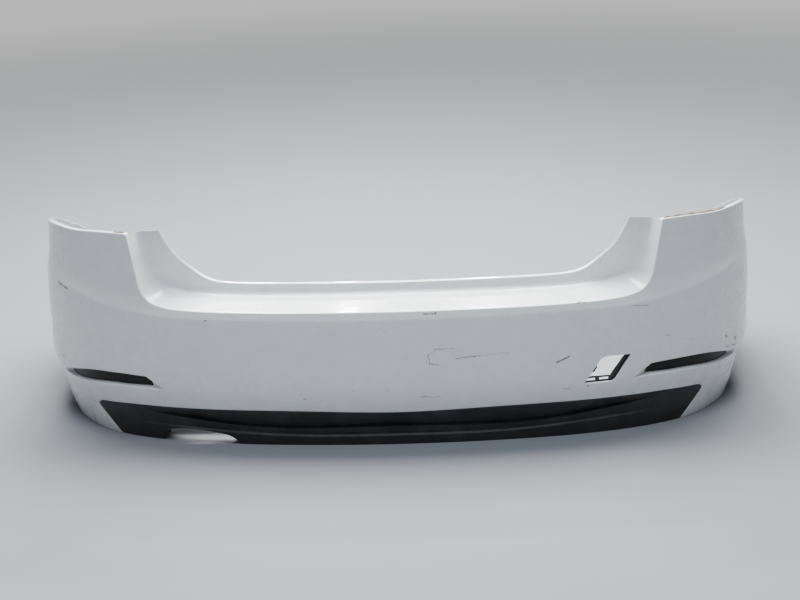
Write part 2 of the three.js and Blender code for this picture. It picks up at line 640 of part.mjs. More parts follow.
// ---------------------------------------------------------------- reflectors
function reflectorLens(side) {
  const back = LENS_DEPTH + LENS_THICK;
  const [topX, footX, outX] = [LENS_IN_TOP_X + 1, LENS_IN_FOOT_X + 1, LENS_OUT_X - 3];
  return loft(reflectorStations(side, topX, footX, outX, POCKET_STEPS).map(([top, foot]) => {
    const low = lensFootZ(foot) + GAP + LENS_PLAY;
    const high = slotTopZ(top) - GAP;
    return [at(foot, LENS_DEPTH, low), at(foot, back, low), at(top, back, high), at(top, LENS_DEPTH, high)];
  }));
}

function reflectorHousing(side) {
  const behindLens = LENS_DEPTH + LENS_THICK + 2 * GAP;
  const behindFloor = LENS_DEPTH + LENS_THICK + GAP + WALL + 2 * GAP;
  const { margin, overlap, thick } = HOUSING_PLATE;
  const [x0, x1] = WINDOW_X;
  const body = (inset, near, far, shrink) => loft(
    reflectorStations(side, x0 + inset, x0 + inset, x1 - inset, WINDOW_STEPS)
      .map(([s]) => windowSection(s, near, far, shrink)));
  return body(1, behindLens, HOUSING_DEPTH, GAP)
    .add(body(-margin, behindFloor, behindFloor + thick, -overlap));
}

// ---------------------------------------------------------------- heat shield
function heatShield() {
  const inner = prism(grownNotch(SHIELD_RISE), 0, 400);
  const lift = WALL + 2;
  const trim = prism([[-700, lift], [-260, lift], [-260, SHIELD_TOP_Z], [-700, SHIELD_TOP_Z]], 0, 400);
  const outer = prism(grownNotch(SHIELD_RISE + SHIELD_SHEET), SHIELD_Y, SHIELD_Y + SHIELD_LENGTH);
  let shield = outer.subtract(inner).intersect(trim);
  for (const x of STUD_X) {
    const [x0, x1, z0, z1] = [x - EAR.half, x + EAR.half, EAR.z0, EAR.z1];
    const ear = prism([[x0, z0], [x1, z0], [x1, z1], [x0, z1]], SHIELD_Y, SHIELD_Y + SHIELD_SHEET);
    const hole = rod(STUD.holeR, 10, new THREE.Vector3(x, SHIELD_Y - 4, STUD.z), FORWARD);
    shield = shield.add(ear.subtract(inner)).subtract(hole);
  }
  return shield;
}

function pushNut(x) {
  const { bore, rim, rimThick, crown, height } = NUT;
  const seat = new THREE.Vector3(x, SHIELD_Y + SHIELD_SHEET + GAP, STUD.z);
  return turned([[bore, 0], [rim, 0], [rim, rimThick], [crown, height], [bore, height], [bore, 0]],
    seat, FORWARD);
}

// ---------------------------------------------------------------- rivets and clips
const rivetSeat = (x) => atX(x, TAB.depth1 + GAP + WALL + GAP, TAB.holeZ);

function rivetBody(x) {
  const { head, headThick, headTaper, shank, bore, grip } = RIVET;
  return turned([[bore, -grip], [shank, -grip], [shank, 0], [head, 0], [head - headTaper, headThick],
    [bore, headThick], [bore, -grip]], rivetSeat(x), rivetAxis(x));
}

function rivetPin(x) {
  const { headThick, grip, pinHead, pinHeadThick, pinTaper, pinShaft, pinLift, pinTip } = RIVET;
  const seat = headThick + pinLift;
  const top = seat + pinHeadThick;
  return turned([[0, -grip], [pinShaft, -grip + pinTip], [pinShaft, seat], [pinHead, seat],
    [pinHead - pinTaper, top], [0, top]], rivetSeat(x), rivetAxis(x));
}

// U-shaped spring nut that grips a flange: its place, its directions and how far the flange's edge is.
function clipNut({ origin, across, up, out }, reach) {
  const { half, sheet, lead, collarR, collar, holeR } = CLIP;
  const far = -(WALL + GAP);
  const place = (u, v, w) => origin.clone()
    .addScaledVector(across, u)
    .addScaledVector(up, v)
    .addScaledVector(out, w);
  const slab = (u0, u1, w0, w1) => loft([-half, half].map((v) => [
    place(u0, v, w0), place(u1, v, w0), place(u1, v, w1), place(u0, v, w1)]));
  const outerLeaf = slab(-lead, reach + sheet, GAP, GAP + sheet);
  const innerLeaf = slab(-lead, reach + sheet, far - sheet, far);
  const web = slab(reach, reach + sheet, far - sheet, GAP + sheet);
  const thread = rod(collarR, collar + 0.2, place(0, 0, far - sheet - collar), out);
  const hole = rod(holeR, 30, place(0, 0, -20), out);
  return outerLeaf.add(innerLeaf).add(web).add(thread).subtract(hole);
}

const archClip = (side, row) => clipNut(archPoint(side, row), RETURN - ARCH_HOLE_INSET + 1);

function lampClip(side) {
  const across = inwardVector(stationAtX(side * LAMP_TAB_X));
  const up = new THREE.Vector3().crossVectors(UP, across);
  return clipNut({ origin: lampHole(side), across, up, out: UP }, LAMP_TAB.reach - LAMP_TAB.hole + GAP);
}

// Sealing foam on the rim under the lamp, from one |x| to another.
function lampFoam(side, [fromX, toX]) {
  return loft([0, 0.25, 0.5, 0.75, 1].map((t) => {
    const s = side * stationAtX(mix(fromX, toX, t));
    const low = lampZ(Math.abs(s)) + GAP;
    const high = low + FOAM.height;
    const near = faceDepth(s, low) + FOAM.depth;
    const far = near + FOAM.width;
    return [at(s, near, low), at(s, far, low), at(s, far, high), at(s, near, high)];
  }));
}

// ---------------------------------------------------------------- assembly
const cover = new THREE.Group();

function addPiece(name, solid, finish) {
  const material = new THREE.MeshStandardMaterial(finish);
  const mesh = new THREE.Mesh(toGeometry(solid), material);
  mesh.name = name;
  cover.add(mesh);
}

addPiece('bumper_skin', bumperSkin(), PAINT);
addPiece('lower_valance', lowerValance(), GRAINED_BLACK);
for (const [side, name] of [[-1, 'left'], [1, 'right']]) {
  addPiece(`reflector_lens_${name}`, reflectorLens(side), SMOKED);
  addPiece(`reflector_housing_${name}`, reflectorHousing(side), HOUSING_GREY);
  ARCH_CLIP_ROWS.forEach((row, i) => {
    addPiece(`arch_clip_nut_${name}_${i + 1}`, archClip(side, row), SPRING_STEEL);
  });
  addPiece(`lamp_clip_nut_${name}`, lampClip(side), SPRING_STEEL);
}
addPiece('lamp_foam_left', lampFoam(-1, FOAM_LEFT_X), FOAM_BROWN);
addPiece('lamp_foam_right', lampFoam(1, FOAM_RIGHT_X), FOAM_BROWN);
addPiece('exhaust_heat_shield', heatShield(), SHEET_METAL);
STUD_X.forEach((x, i) => addPiece(`shield_push_nut_${i + 1}`, pushNut(x), SPRING_STEEL));
RIVET_X.forEach((x, i) => {
  addPiece(`valance_rivet_body_${i + 1}`, rivetBody(x), RIVET_BLACK);
  addPiece(`valance_rivet_pin_${i + 1}`, rivetPin(x), RIVET_BLACK);
});

// The origin stands at the middle of the bottom.
const extent = new THREE.Box3().setFromObject(cover);
cover.position.y = -(extent.min.y + extent.max.y) / 2;

export default cover;
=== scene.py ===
"""Rear bumper cover of a mid-size saloon, with its valance, reflectors, foam, clips and rivets."""
import logging
import math
from dataclasses import dataclass, field
from enum import Enum
from typing import Callable, Sequence

import bmesh
import bpy
import numpy as np
from mathutils import Matrix, Vector, kdtree, noise
from mathutils.geometry import delaunay_2d_cdt


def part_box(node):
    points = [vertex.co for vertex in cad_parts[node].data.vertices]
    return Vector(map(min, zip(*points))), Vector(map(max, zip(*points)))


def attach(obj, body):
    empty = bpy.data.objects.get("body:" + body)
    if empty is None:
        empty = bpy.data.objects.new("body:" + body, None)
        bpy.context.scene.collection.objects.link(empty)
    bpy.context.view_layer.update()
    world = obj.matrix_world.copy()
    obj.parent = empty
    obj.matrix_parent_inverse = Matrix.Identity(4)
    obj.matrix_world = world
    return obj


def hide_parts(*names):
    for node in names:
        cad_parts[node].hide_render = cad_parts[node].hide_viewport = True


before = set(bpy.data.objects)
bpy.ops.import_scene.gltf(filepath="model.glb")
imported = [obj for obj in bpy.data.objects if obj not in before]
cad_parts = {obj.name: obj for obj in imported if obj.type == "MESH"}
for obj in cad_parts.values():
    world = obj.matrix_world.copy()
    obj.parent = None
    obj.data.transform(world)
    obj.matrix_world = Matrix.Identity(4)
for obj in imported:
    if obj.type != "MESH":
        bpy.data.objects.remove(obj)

LOG = logging.getLogger("bumper_cover")
MM = 0.001
COVER = "cover"
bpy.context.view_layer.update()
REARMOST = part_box("bumper_skin")[0].y

Points = np.ndarray


class Side(Enum):
    """Side of the car, seen from behind it."""

    LEFT = -1
    RIGHT = 1

    @property
    def word(self) -> str:
        """Name of the side in piece and node names."""
        return self.name.lower()


class Slot(Enum):
    """Material slots of the record."""

    PAINT = "paint"
    VALANCE = "grained_black"
    LENS = "smoked_lens"
    HOUSING = "housing_plastic"
    SPRING = "spring_steel"
    FOAM = "foam"
    SHIELD = "shield_metal"
    RIVET = "rivet_plastic"


# ---------------------------------------------------------------- curves
class Spline:
    """Natural cubic spline through (place, value) points."""

    def __init__(self, points: Sequence[tuple[float, float]], even: bool = False) -> None:
        """Fit the curve.

        Args:
            points: Places in rising order, each with its value.
            even: Mirror the points about place 0 first.
        """
        table = np.array(points, float)
        if even:
            left = table[table[:, 0] > 0][::-1] * (-1, 1)
            table = np.concatenate([left, table])
        self.place, self.value = table.T
        step = np.diff(self.place)
        count = len(self.place)
        matrix = np.eye(count)
        right = np.zeros(count)
        for i in range(1, count - 1):
            matrix[i, i - 1:i + 2] = step[i - 1], 2 * (step[i - 1] + step[i]), step[i]
            slope = np.diff(self.value[i - 1:i + 2]) / step[i - 1:i + 1]
            right[i] = 6 * (slope[1] - slope[0])
        self.bend = np.linalg.solve(matrix, right)

    def __call__(self, where: Points) -> Points:
        """Value of the curve at one or more places."""
        where = np.asarray(where, float)
        k = np.clip(np.searchsorted(self.place, where, side="left") - 1, 0, len(self.place) - 2)
        h = self.place[k + 1] - self.place[k]
        a = (self.place[k + 1] - where) / h
        b = 1 - a
        curl = ((a**3 - a) * self.bend[k] + (b**3 - b) * self.bend[k + 1]) * h * h / 6
        return a * self.value[k] + b * self.value[k + 1] + curl


def smooth(value: Points, low: float, high: float) -> Points:
    """Smooth step from 0 at low to 1 at high."""
    t = np.clip((np.asarray(value, float) - low) / (high - low), 0, 1)
    return t * t * (3 - 2 * t)


def mix(a: Points, b: Points, t: Points) -> Points:
    """Straight blend from a to b."""
    return a + (b - a) * t


def unit(vectors: Points) -> Points:
    """Rows scaled to length 1."""
    return vectors / np.maximum(np.linalg.norm(vectors, axis=-1, keepdims=True), 1e-9)


def bezier(start: Points, corner: Points, end: Points, steps: int) -> list[Points]:
    """Points of a rounded corner, both ends included.

    Args:
        start: Rows of start points.
        corner: Rows of corner points.
        end: Rows of end points.
        steps: Number of stretches.

    Returns:
        One array of points for each step.
    """
    shares = np.linspace(0, 1, steps + 1)
    return [(1 - t) ** 2 * start + 2 * t * (1 - t) * corner + t * t * end for t in shares]


def resample(line: Points, step: float) -> Points:
    """Points at even steps along a polyline, its ends included.

    Args:
        line: Points of the polyline, any width.
        step: Wanted distance between points, measured in the first two columns.

    Returns:
        The new points, with every column interpolated.
    """
    along = np.r_[0, np.cumsum(np.hypot(*np.diff(line[:, :2], axis=0).T))]
    count = max(2, int(round(along[-1] / step)) + 1)
    where = np.linspace(0, along[-1], count)
    return np.stack([np.interp(where, along, column) for column in line.T], -1)


def closed_loop(parts: Sequence[Points], radii: Sequence[float]) -> Points:
    """One closed loop from stretches that meet end to end, with rounded corners.

    Args:
        parts: Stretches as rows (station, height, ...); further columns ride along.
        radii: Rounding between each stretch and the next; the last one closes the loop.

    Returns:
        The loop's rows, the first one not repeated at the end.
    """
    trimmed = []
    for i, part in enumerate(parts):
        along = np.r_[0, np.cumsum(np.hypot(*np.diff(part[:, :2], axis=0).T))]
        low, high = radii[i - 1], along[-1] - radii[i]
        keep = (along > low + 1.2) & (along < high - 1.2)
        ends = [np.array([np.interp(at, along, column) for column in part.T]) for at in (low, high)]
        trimmed.append(np.vstack([ends[0][None], part[keep], ends[1][None]]))
    rows = []
    for i, part in enumerate(trimmed):
        rows.append(part)
        if radii[i] > 0:
            corner = parts[i][-1]
            arc = bezier(part[-1], corner, trimmed[(i + 1) % len(parts)][0], 4)
            rows.append(np.array(arc[1:-1]))
    loop = np.vstack(rows)
    step = np.hypot(*(loop[:, :2] - np.roll(loop[:, :2], 1, axis=0)).T)
    return loop[step > 1e-6]


def side_normals(loop: Points) -> Points:
    """Unit normals to the left of a closed loop's direction, one for each point."""
    ahead = np.roll(loop, -1, axis=0) - loop
    behind = loop - np.roll(loop, 1, axis=0)
    along = unit(unit(ahead) + unit(behind))
    return np.stack([-along[:, 1], along[:, 0]], -1)


def inside(points: Points, loop: Points) -> Points:
    """Which points lie inside a closed loop."""
    x, y = points[:, :1], points[:, 1:2]
    x0, y0 = loop[:, 0], loop[:, 1]
    x1, y1 = np.roll(x0, -1), np.roll(y0, -1)
    crosses = (y0 > y) != (y1 > y)
    with np.errstate(divide="ignore", invalid="ignore"):
        meets = x0 + (y - y0) * (x1 - x0) / (y1 - y0)
    return (crosses & (x < meets)).sum(axis=1) % 2 == 1


# ---------------------------------------------------------------- shape of the cover
@dataclass
class CoverForm:
    """The cover's outer shape as formulas: millimetres, Y counted from the rearmost point."""

    plan: tuple = ((0, 0), (250, 9), (480, 36), (640, 78), (745, 132), (815, 205), (855, 300),
                   (870, 420), (875, 560), (877, 742))
    leg_top_x: float = 616
    crease_turn: float = 12
    crease_turn_corner: float = 8
    crease_reach: float = 25
    crease_reach_corner: float = 50
    crease_round: float = 3.5
    crease_below: float = 30
    rear_top_z: float = 300
    corner_top_z: float = 386
    bulge_from_x: float = 790
    bulge_full_y: float = 310
    lean_from_y: float = 420
    arch_y: float = 1010
    arch_z: float = 80
    arch_radius: float = 350

    def __post_init__(self) -> None:
        """Fit the curves."""
        table = np.array(self.plan, float)
        place = np.r_[0, np.cumsum(np.hypot(*np.diff(table, axis=0).T))]
        self.end = place[-1]
        self.depth = table[-1, 1]
        self._y = Spline(list(zip(place, table[:, 1])), even=True)
        both = np.r_[-place[:0:-1], place]
        self._x = Spline(list(zip(both, np.r_[-table[:0:-1, 0], table[:, 0]])))
        self._dense = np.linspace(0, self.end, 4001)
        sx, sy = self.station_x, self.station_y
        self.crease = Spline([(0, 332), (sx(430), 335), (sx(560), 339), (sx(650), 351), (sx(740), 369),
                              (sx(826), 385), (sy(330), 386), (sy(450), 371), (self.end, 296)], even=True)
        self._lamp = Spline([(sx(self.leg_top_x), 530), (sx(700), 528), (sx(750), 523.5), (sx(806), 520),
                             (sy(317), 500), (sy(520), 428), (self.end, 322)])
        self.rear_depth = Spline([(0, 34), (50, 25), (94, 15), (150, 4), (220, 1.5), (300, 0)])
        self.corner_depth = Spline([(0, 20), (40, 9), (90, 0), (125, -9), (152, -19), (210, -20),
                                    (300, -17), (386, -10)])
        self._bulge = sx(self.bulge_from_x), sy(self.bulge_full_y)
        self._lean = sy(self.lean_from_y)
        self._arch_top = float(self.lamp(self.end))

    def station_x(self, x: Points) -> Points:
        """Station along the plan at a distance to the side."""
        return np.sign(x) * np.interp(np.abs(x), self._x(self._dense), self._dense)

    def station_y(self, y: float) -> float:
        """Station along the right half of the plan at a distance forward."""
        return float(np.interp(y, self._y(self._dense), self._dense))

    def lamp(self, station: Points) -> Points:
        """Height of the top edge outboard of the lamp legs."""
        return self._lamp(np.abs(station))

    def x_at(self, station: Points) -> Points:
        """Distance to the side at a station."""
        return self._x(station)

    def inward(self, station: Points) -> Points:
        """Unit vectors that point into the cover, level, at stations."""
        step = 0.5
        dx = self._x(station + step) - self._x(station - step)
        dy = self._y(station + step) - self._y(station - step)
        return unit(np.stack([-dy, dx, np.zeros_like(dx)], -1))

    def at(self, station: Points, depth: Points, z: Points) -> Points:
        """Points a depth behind the plan line."""
        station, depth, z = np.broadcast_arrays(*np.atleast_1d(station, depth, z))
        base = np.stack([self._x(station), self._y(station), z.astype(float)], -1)
        return base + self.inward(station.astype(float)) * depth[..., None]

    def face_depth(self, station: Points, z: Points) -> Points:
        """Depth of the outer face behind the plan line."""
        corner = smooth(np.abs(station), *self._bulge)
        rear = np.where(np.asarray(z) < self.rear_top_z, self.rear_depth(z), 0)
        base = mix(rear, self.corner_depth(np.minimum(z, self.corner_top_z)), corner)
        over = z - self.crease(station)
        above = (over + np.sqrt(over**2 + self.crease_round**2)) / 2
        above = np.where(over < -self.crease_below, 0, above)
        turn = self.crease_turn + self.crease_turn_corner * corner
        reach = self.crease_reach + self.crease_reach_corner * corner
        return base + turn * (1 - np.exp(-above / reach))

    def leaned(self, station: Points, z: Points) -> Points:
        """Stations on the side, leaned so that the last one follows the wheel arch."""
        side = np.abs(station)
        height = np.minimum(z, self._arch_top) - self.arch_z
        arch = self.arch_y - np.sqrt(self.arch_radius**2 - height**2)
        goal = self.end - (self.depth - arch)
        share = np.clip((side - self._lean) / (self.end - self._lean), 0, 1)
        return np.sign(station) * np.where(share > 0, self._lean + share * (goal - self._lean), side)

    def on_face(self, flat: Points, extra: Points = 0.0) -> Points:
        """Points on the outer face, or a distance behind it.

        Args:
            flat: Rows (station, height).
            extra: Distance behind the face.

        Returns:
            Rows (x, y, z).
        """
        station, z = flat[..., 0], flat[..., 1]
        return self.at(self.leaned(station, z), self.face_depth(station, z) + extra, z)

    def way_in(self, flat: Points) -> Points:
        """Inward unit vectors at rows (station, height)."""
        return self.inward(self.leaned(flat[..., 0], flat[..., 1]))


FORM = CoverForm()


# ---------------------------------------------------------------- meshes
class Sheet:
    """Open or closed surface gathered from grids and filled outlines, in millimetres."""

    def __init__(self) -> None:
        """Start empty."""
        self.points: list[Points] = []
        self.faces: list[Points] = []
        self.count = 0

    def add(self, points: Points, faces: Points) -> None:
        """Add loose faces of three or four corners."""
        self.points.append(points)
        self.faces.append(faces + self.count)
        self.count += len(points)

    def grid(self, rows: Sequence[Points], closed: bool = False, flip: bool = False) -> None:
        """Add quads between rows of matching points.

        Args:
            rows: Arrays of points; each row has the same length.
            closed: Join the last point of each row to its first.
            flip: Turn the faces round.
        """
        stack = np.stack(rows)
        high, wide = stack.shape[:2]
        i, j = np.meshgrid(np.arange(high - 1), np.arange(wide if closed else wide - 1), indexing="ij")
        k = (j + 1) % wide
        near, far = i * wide, (i + 1) * wide
        quads = np.stack([near + j, far + j, far + k, near + k], -1).reshape(-1, 4)
        self.add(stack.reshape(-1, 3), quads[:, ::-1] if flip else quads)

    def fill(self, loop: Points, holes: Sequence[Points], place: Callable[[Points], Points], spacing: float,
             extra: Points | None = None) -> None:
        """Fill a flat outline with even triangles and lay them on the surface.

        Args:
            loop: Outer outline, rows (station, height).
            holes: Outlines left open.
            place: Turns rows (station, height) into points.
            spacing: Size of the triangles.
            extra: Further points that the triangles must use.
        """
        edge = np.vstack([loop, *holes])
        low, high = loop.min(0), loop.max(0)
        across, up = np.arange(low[0], high[0], spacing), np.arange(low[1], high[1], spacing * 0.866)
        gx, gz = np.meshgrid(across, up)
        gx = gx + (np.arange(len(up)) % 2)[:, None] * spacing / 2
        own = np.stack([gx.ravel(), gz.ravel()], -1)
        fixed = edge if extra is None else np.vstack([edge, extra])
        own = own[self._clear(own, fixed, spacing * 0.62)]
        inner = own if extra is None else np.vstack([extra[self._clear(extra, edge, spacing * 0.35)], own])
        inner = inner[inside(inner, loop)]
        for hole in holes:
            inner = inner[~inside(inner, hole)]
        bounds, start = [], 0
        for ring in (loop, *holes):
            index = np.arange(len(ring)) + start
            bounds += list(zip(index.tolist(), np.roll(index, -1).tolist()))
            start += len(ring)
        flat = [Vector(p) for p in np.vstack([edge, inner])]
        verts, _, faces, *_ = delaunay_2d_cdt(flat, bounds, [], 0, 1e-5)
        verts = np.array([v[:] for v in verts])
        faces = np.array([f for f in faces if len(f) == 3])
        middle = verts[faces].mean(axis=1)
        keep = inside(middle, loop)
        for hole in holes:
            keep &= ~inside(middle, hole)
        faces = faces[keep]
        a, b, c = (verts[faces[:, i]] for i in range(3))
        turn = (b - a)[:, 0] * (c - a)[:, 1] - (b - a)[:, 1] * (c - a)[:, 0]
        faces = np.where(turn[:, None] > 0, faces, faces[:, ::-1])[np.abs(turn) > 0.02]
        self.add(place(verts), faces)

    @staticmethod
    def _clear(points: Points, others: Points, distance: float) -> Points:
        """Which points keep a distance from all the others."""
        tree = kdtree.KDTree(len(others))
        for i, p in enumerate(others):
            tree.insert((p[0], p[1], 0), i)
        tree.balance()
        return np.array([tree.find((p[0], p[1], 0))[2] > distance for p in points], bool)

    def box(self, corners: Points) -> None:
        """Add a closed box from its eight corners: four of the low end, then four of the high end."""
        sides = [(0, 1, 2, 3), (7, 6, 5, 4), (0, 4, 5, 1), (1, 5, 6, 2), (2, 6, 7, 3), (3, 7, 4, 0)]
        faces = np.array(sides)
        a, b, c, d = corners[:4]
        if np.dot(np.cross(b - a, d - a), corners[4] - a) > 0:
            faces = faces[:, ::-1]
        self.add(corners, faces)

    def block(self, x: float, half: float, depth: Sequence[float], z: Sequence[float]) -> None:
        """Add a box behind the plan line.

        Args:
            x: Place along the cover.
            half: Half its width.
            depth: Its nearest and farthest depth.
            z: Its lowest and highest height.
        """
        station = float(FORM.station_x(x))
        section = ((depth[0], z[0]), (depth[1], z[0]), (depth[1], z[1]), (depth[0], z[1]))
        corners = [FORM.at(station + along, d, h)[0] for along in (-half, half) for d, h in section]
        self.box(np.array(corners))

    def tube(self, rings: Sequence[Points], flip: bool) -> None:
        """Add a tube through closed rings of points, with a fan of triangles over each end."""
        self.grid(rings, closed=True, flip=flip)
        index = np.arange(len(rings[0]))
        fan = np.stack([index, np.roll(index, -1), np.full(len(index), len(index))], -1)
        for ring, turned in ((rings[0], not flip), (rings[-1], flip)):
            hub = ring.mean(axis=0, keepdims=True)
            self.add(np.vstack([ring, hub]), fan[:, ::-1] if turned else fan)

    def make(self, name: str, wall: float = 0.0, extra: "Sheet | None" = None) -> bpy.types.Object:
        """Make the Blender object.

        Args:
            name: Name of the piece.
            wall: Thickness to add behind the surface, in millimetres.
            extra: Closed solids that join the piece after it has its thickness.

        Returns:
            The new object, linked to the scene, in metres.
        """
        mesh = self._mesh(name)
        piece = bpy.data.objects.new(name, mesh)
        bpy.context.scene.collection.objects.link(piece)
        if wall:
            solid = piece.modifiers.new("wall", "SOLIDIFY")
            solid.thickness = wall * MM
            solid.offset = -1
            solid.use_even_offset = True
            solid.use_quality_normals = True
            solid.thickness_clamp = 1.5
            applied(piece)
        if extra is not None and extra.count:
            joined = bmesh.new()
            joined.from_mesh(piece.data)
            joined.from_mesh(extra._mesh(name + "_extra"))
            joined.to_mesh(piece.data)
            joined.free()
        finish_shading(piece)
        return piece

    def _mesh(self, name: str) -> bpy.types.Mesh:
        """Merged mesh in metres, in the row frame."""
        points = np.vstack(self.points) * MM
        points[:, 1] += REARMOST
        mesh = bpy.data.meshes.new(name)
        mesh.from_pydata(points.tolist(), [], [face.tolist() for part in self.faces for face in part])
        work = bmesh.new()
        work.from_mesh(mesh)
        bmesh.ops.remove_doubles(work, verts=work.verts, dist=2e-5)
        bmesh.ops.dissolve_degenerate(work, edges=work.edges, dist=1e-6)
        work.to_mesh(mesh)
        work.free()
        return mesh


def applied(piece: bpy.types.Object) -> None:
    """Bake a piece's modifiers into its mesh."""
    graph = bpy.context.evaluated_depsgraph_get()
    mesh = bpy.data.meshes.new_from_object(piece.evaluated_get(graph))
    piece.modifiers.clear()
    piece.data = mesh


def finish_shading(piece: bpy.types.Object, angle: float = 38.0) -> None:
    """Smooth shading with sharp edges above an angle in degrees."""
    mesh = piece.data
    mesh.shade_smooth()
    mesh.set_sharp_from_angle(angle=math.radians(angle))
    mesh.update()


def mount(piece: bpy.types.Object, slot: Slot, nodes: Sequence[str], body: str = COVER) -> None:
    """Give a piece its body, hide the CAD nodes it stands for and log its face count."""
    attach(piece, body)
    if nodes:
        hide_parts(*nodes)
    LOG.info("%s: %d faces on %s", piece.name, len(piece.data.polygons), body)


# ---------------------------------------------------------------- painted skin
@dataclass
class ReflectorSlot:
    """Recess for a reflector: its outline on the face and the lens's outline behind it."""

    top: tuple = ((598, 180), (645, 181), (693, 179.5), (750, 172), (798, 155), (832, 138))
    ledge: tuple = ((556, 149), (608, 147), (672, 145), (726, 140), (780, 132), (832, 127))
    lens_foot: tuple = ((556, 150), (584, 153), (634, 151), (700, 148), (750, 141), (788, 135), (832, 129))
    wedge_x: float = 556
    wedge_z: float = 150
    in_top_x: float = 598
    in_foot_x: float = 584
    out_x: float = 830
    depth: float = 14
    thick: float = 8
    stretches: tuple = (50, 240, 9, 270)

    def __post_init__(self) -> None:
        """Fit the edge curves."""
        self.top_z, self.ledge_z, self.foot_z = (Spline(t) for t in (self.top, self.ledge, self.lens_foot))

    def outlines(self, side: Side, step: float) -> tuple[Points, Points]:
        """Matching outlines, clockwise on the right: on the face, and on the lens plane.

        Args:
            side: Left or right.
            step: Distance between points.

        Returns:
            Rows (x, height) of the face outline and of the lens outline.
        """
        tip = np.array([self.wedge_x, self.wedge_z])
        face, lens = [], []

        def stretch(a: Callable, b: Callable, length: float) -> None:
            """Add one stretch to both outlines."""
            shares = np.arange(0, 1, step / length)[:, None]
            face.append(a(shares))
            lens.append(b(shares))

        def along(curve: Spline, x0: float, x1: float) -> Callable:
            """Points of a height curve from one x to another."""
            return lambda t: np.hstack([mix(x0, x1, t), curve(mix(x0, x1, t))])

        shoulder = np.array([self.in_top_x, float(self.top_z(self.in_top_x))])
        foot = np.array([self.in_foot_x, float(self.foot_z(self.in_foot_x))])
        out_top = np.array([self.out_x, float(self.top_z(self.out_x))])
        out_ledge = np.array([self.out_x, float(self.ledge_z(self.out_x))])
        out_foot = np.array([self.out_x - 1, float(self.foot_z(self.out_x)) + 0.3])
        out_lens = out_top - (1, 0.6)
        inner, upper, outer, lower = self.stretches
        in_x, out_x, lens_x = self.in_top_x, self.out_x, self.out_x - 1
        stretch(lambda t: mix(tip, shoulder, t), lambda t: mix(foot, shoulder, t), inner)
        stretch(along(self.top_z, in_x, out_x), along(self.top_z, in_x, lens_x), upper)
        stretch(lambda t: mix(out_top, out_ledge, t), lambda t: mix(out_lens, out_foot, t), outer)
        stretch(along(self.ledge_z, out_x, self.wedge_x), along(self.foot_z, lens_x, self.in_foot_x), lower)
        pair = [np.vstack(rows) for rows in (face, lens)]
        if side is Side.LEFT:
            pair = [rows[::-1] * (-1, 1) for rows in pair]
        return pair[0], pair[1]


@dataclass
class TowEyeOpening:
    """Opening for the towing eye: a rebate for its missing cap, and the way through."""

    rebate: tuple = ((436, 147), (505, 146), (512, 152), (548, 211), (488, 213), (474, 207))
    way: tuple = ((449, 160), (500, 159), (534, 207), (543, 210.5), (491, 211), (478, 205), (466, 186),
                  (470, 184), (461, 170), (456, 171))
    clip_slots: tuple = ((443, 464), (474, 496))
    clip_slot_z: tuple = (149.5, 155.5)
    depth: float = 12
    corner: float = 3

    def loop(self, corners: Sequence[tuple[float, float]], radius: float, step: float) -> Points:
        """Closed outline through corners, counterclockwise, with rounded corners.

        Args:
            corners: Rows (x, height).
            radius: Rounding.
            step: Distance between points.

        Returns:
            Rows (x, height).
        """
        table = np.array(corners, float)
        parts = [resample(np.array([a, b]), step) for a, b in zip(table, np.roll(table, -1, axis=0))]
        return closed_loop(parts, [radius] * len(parts))


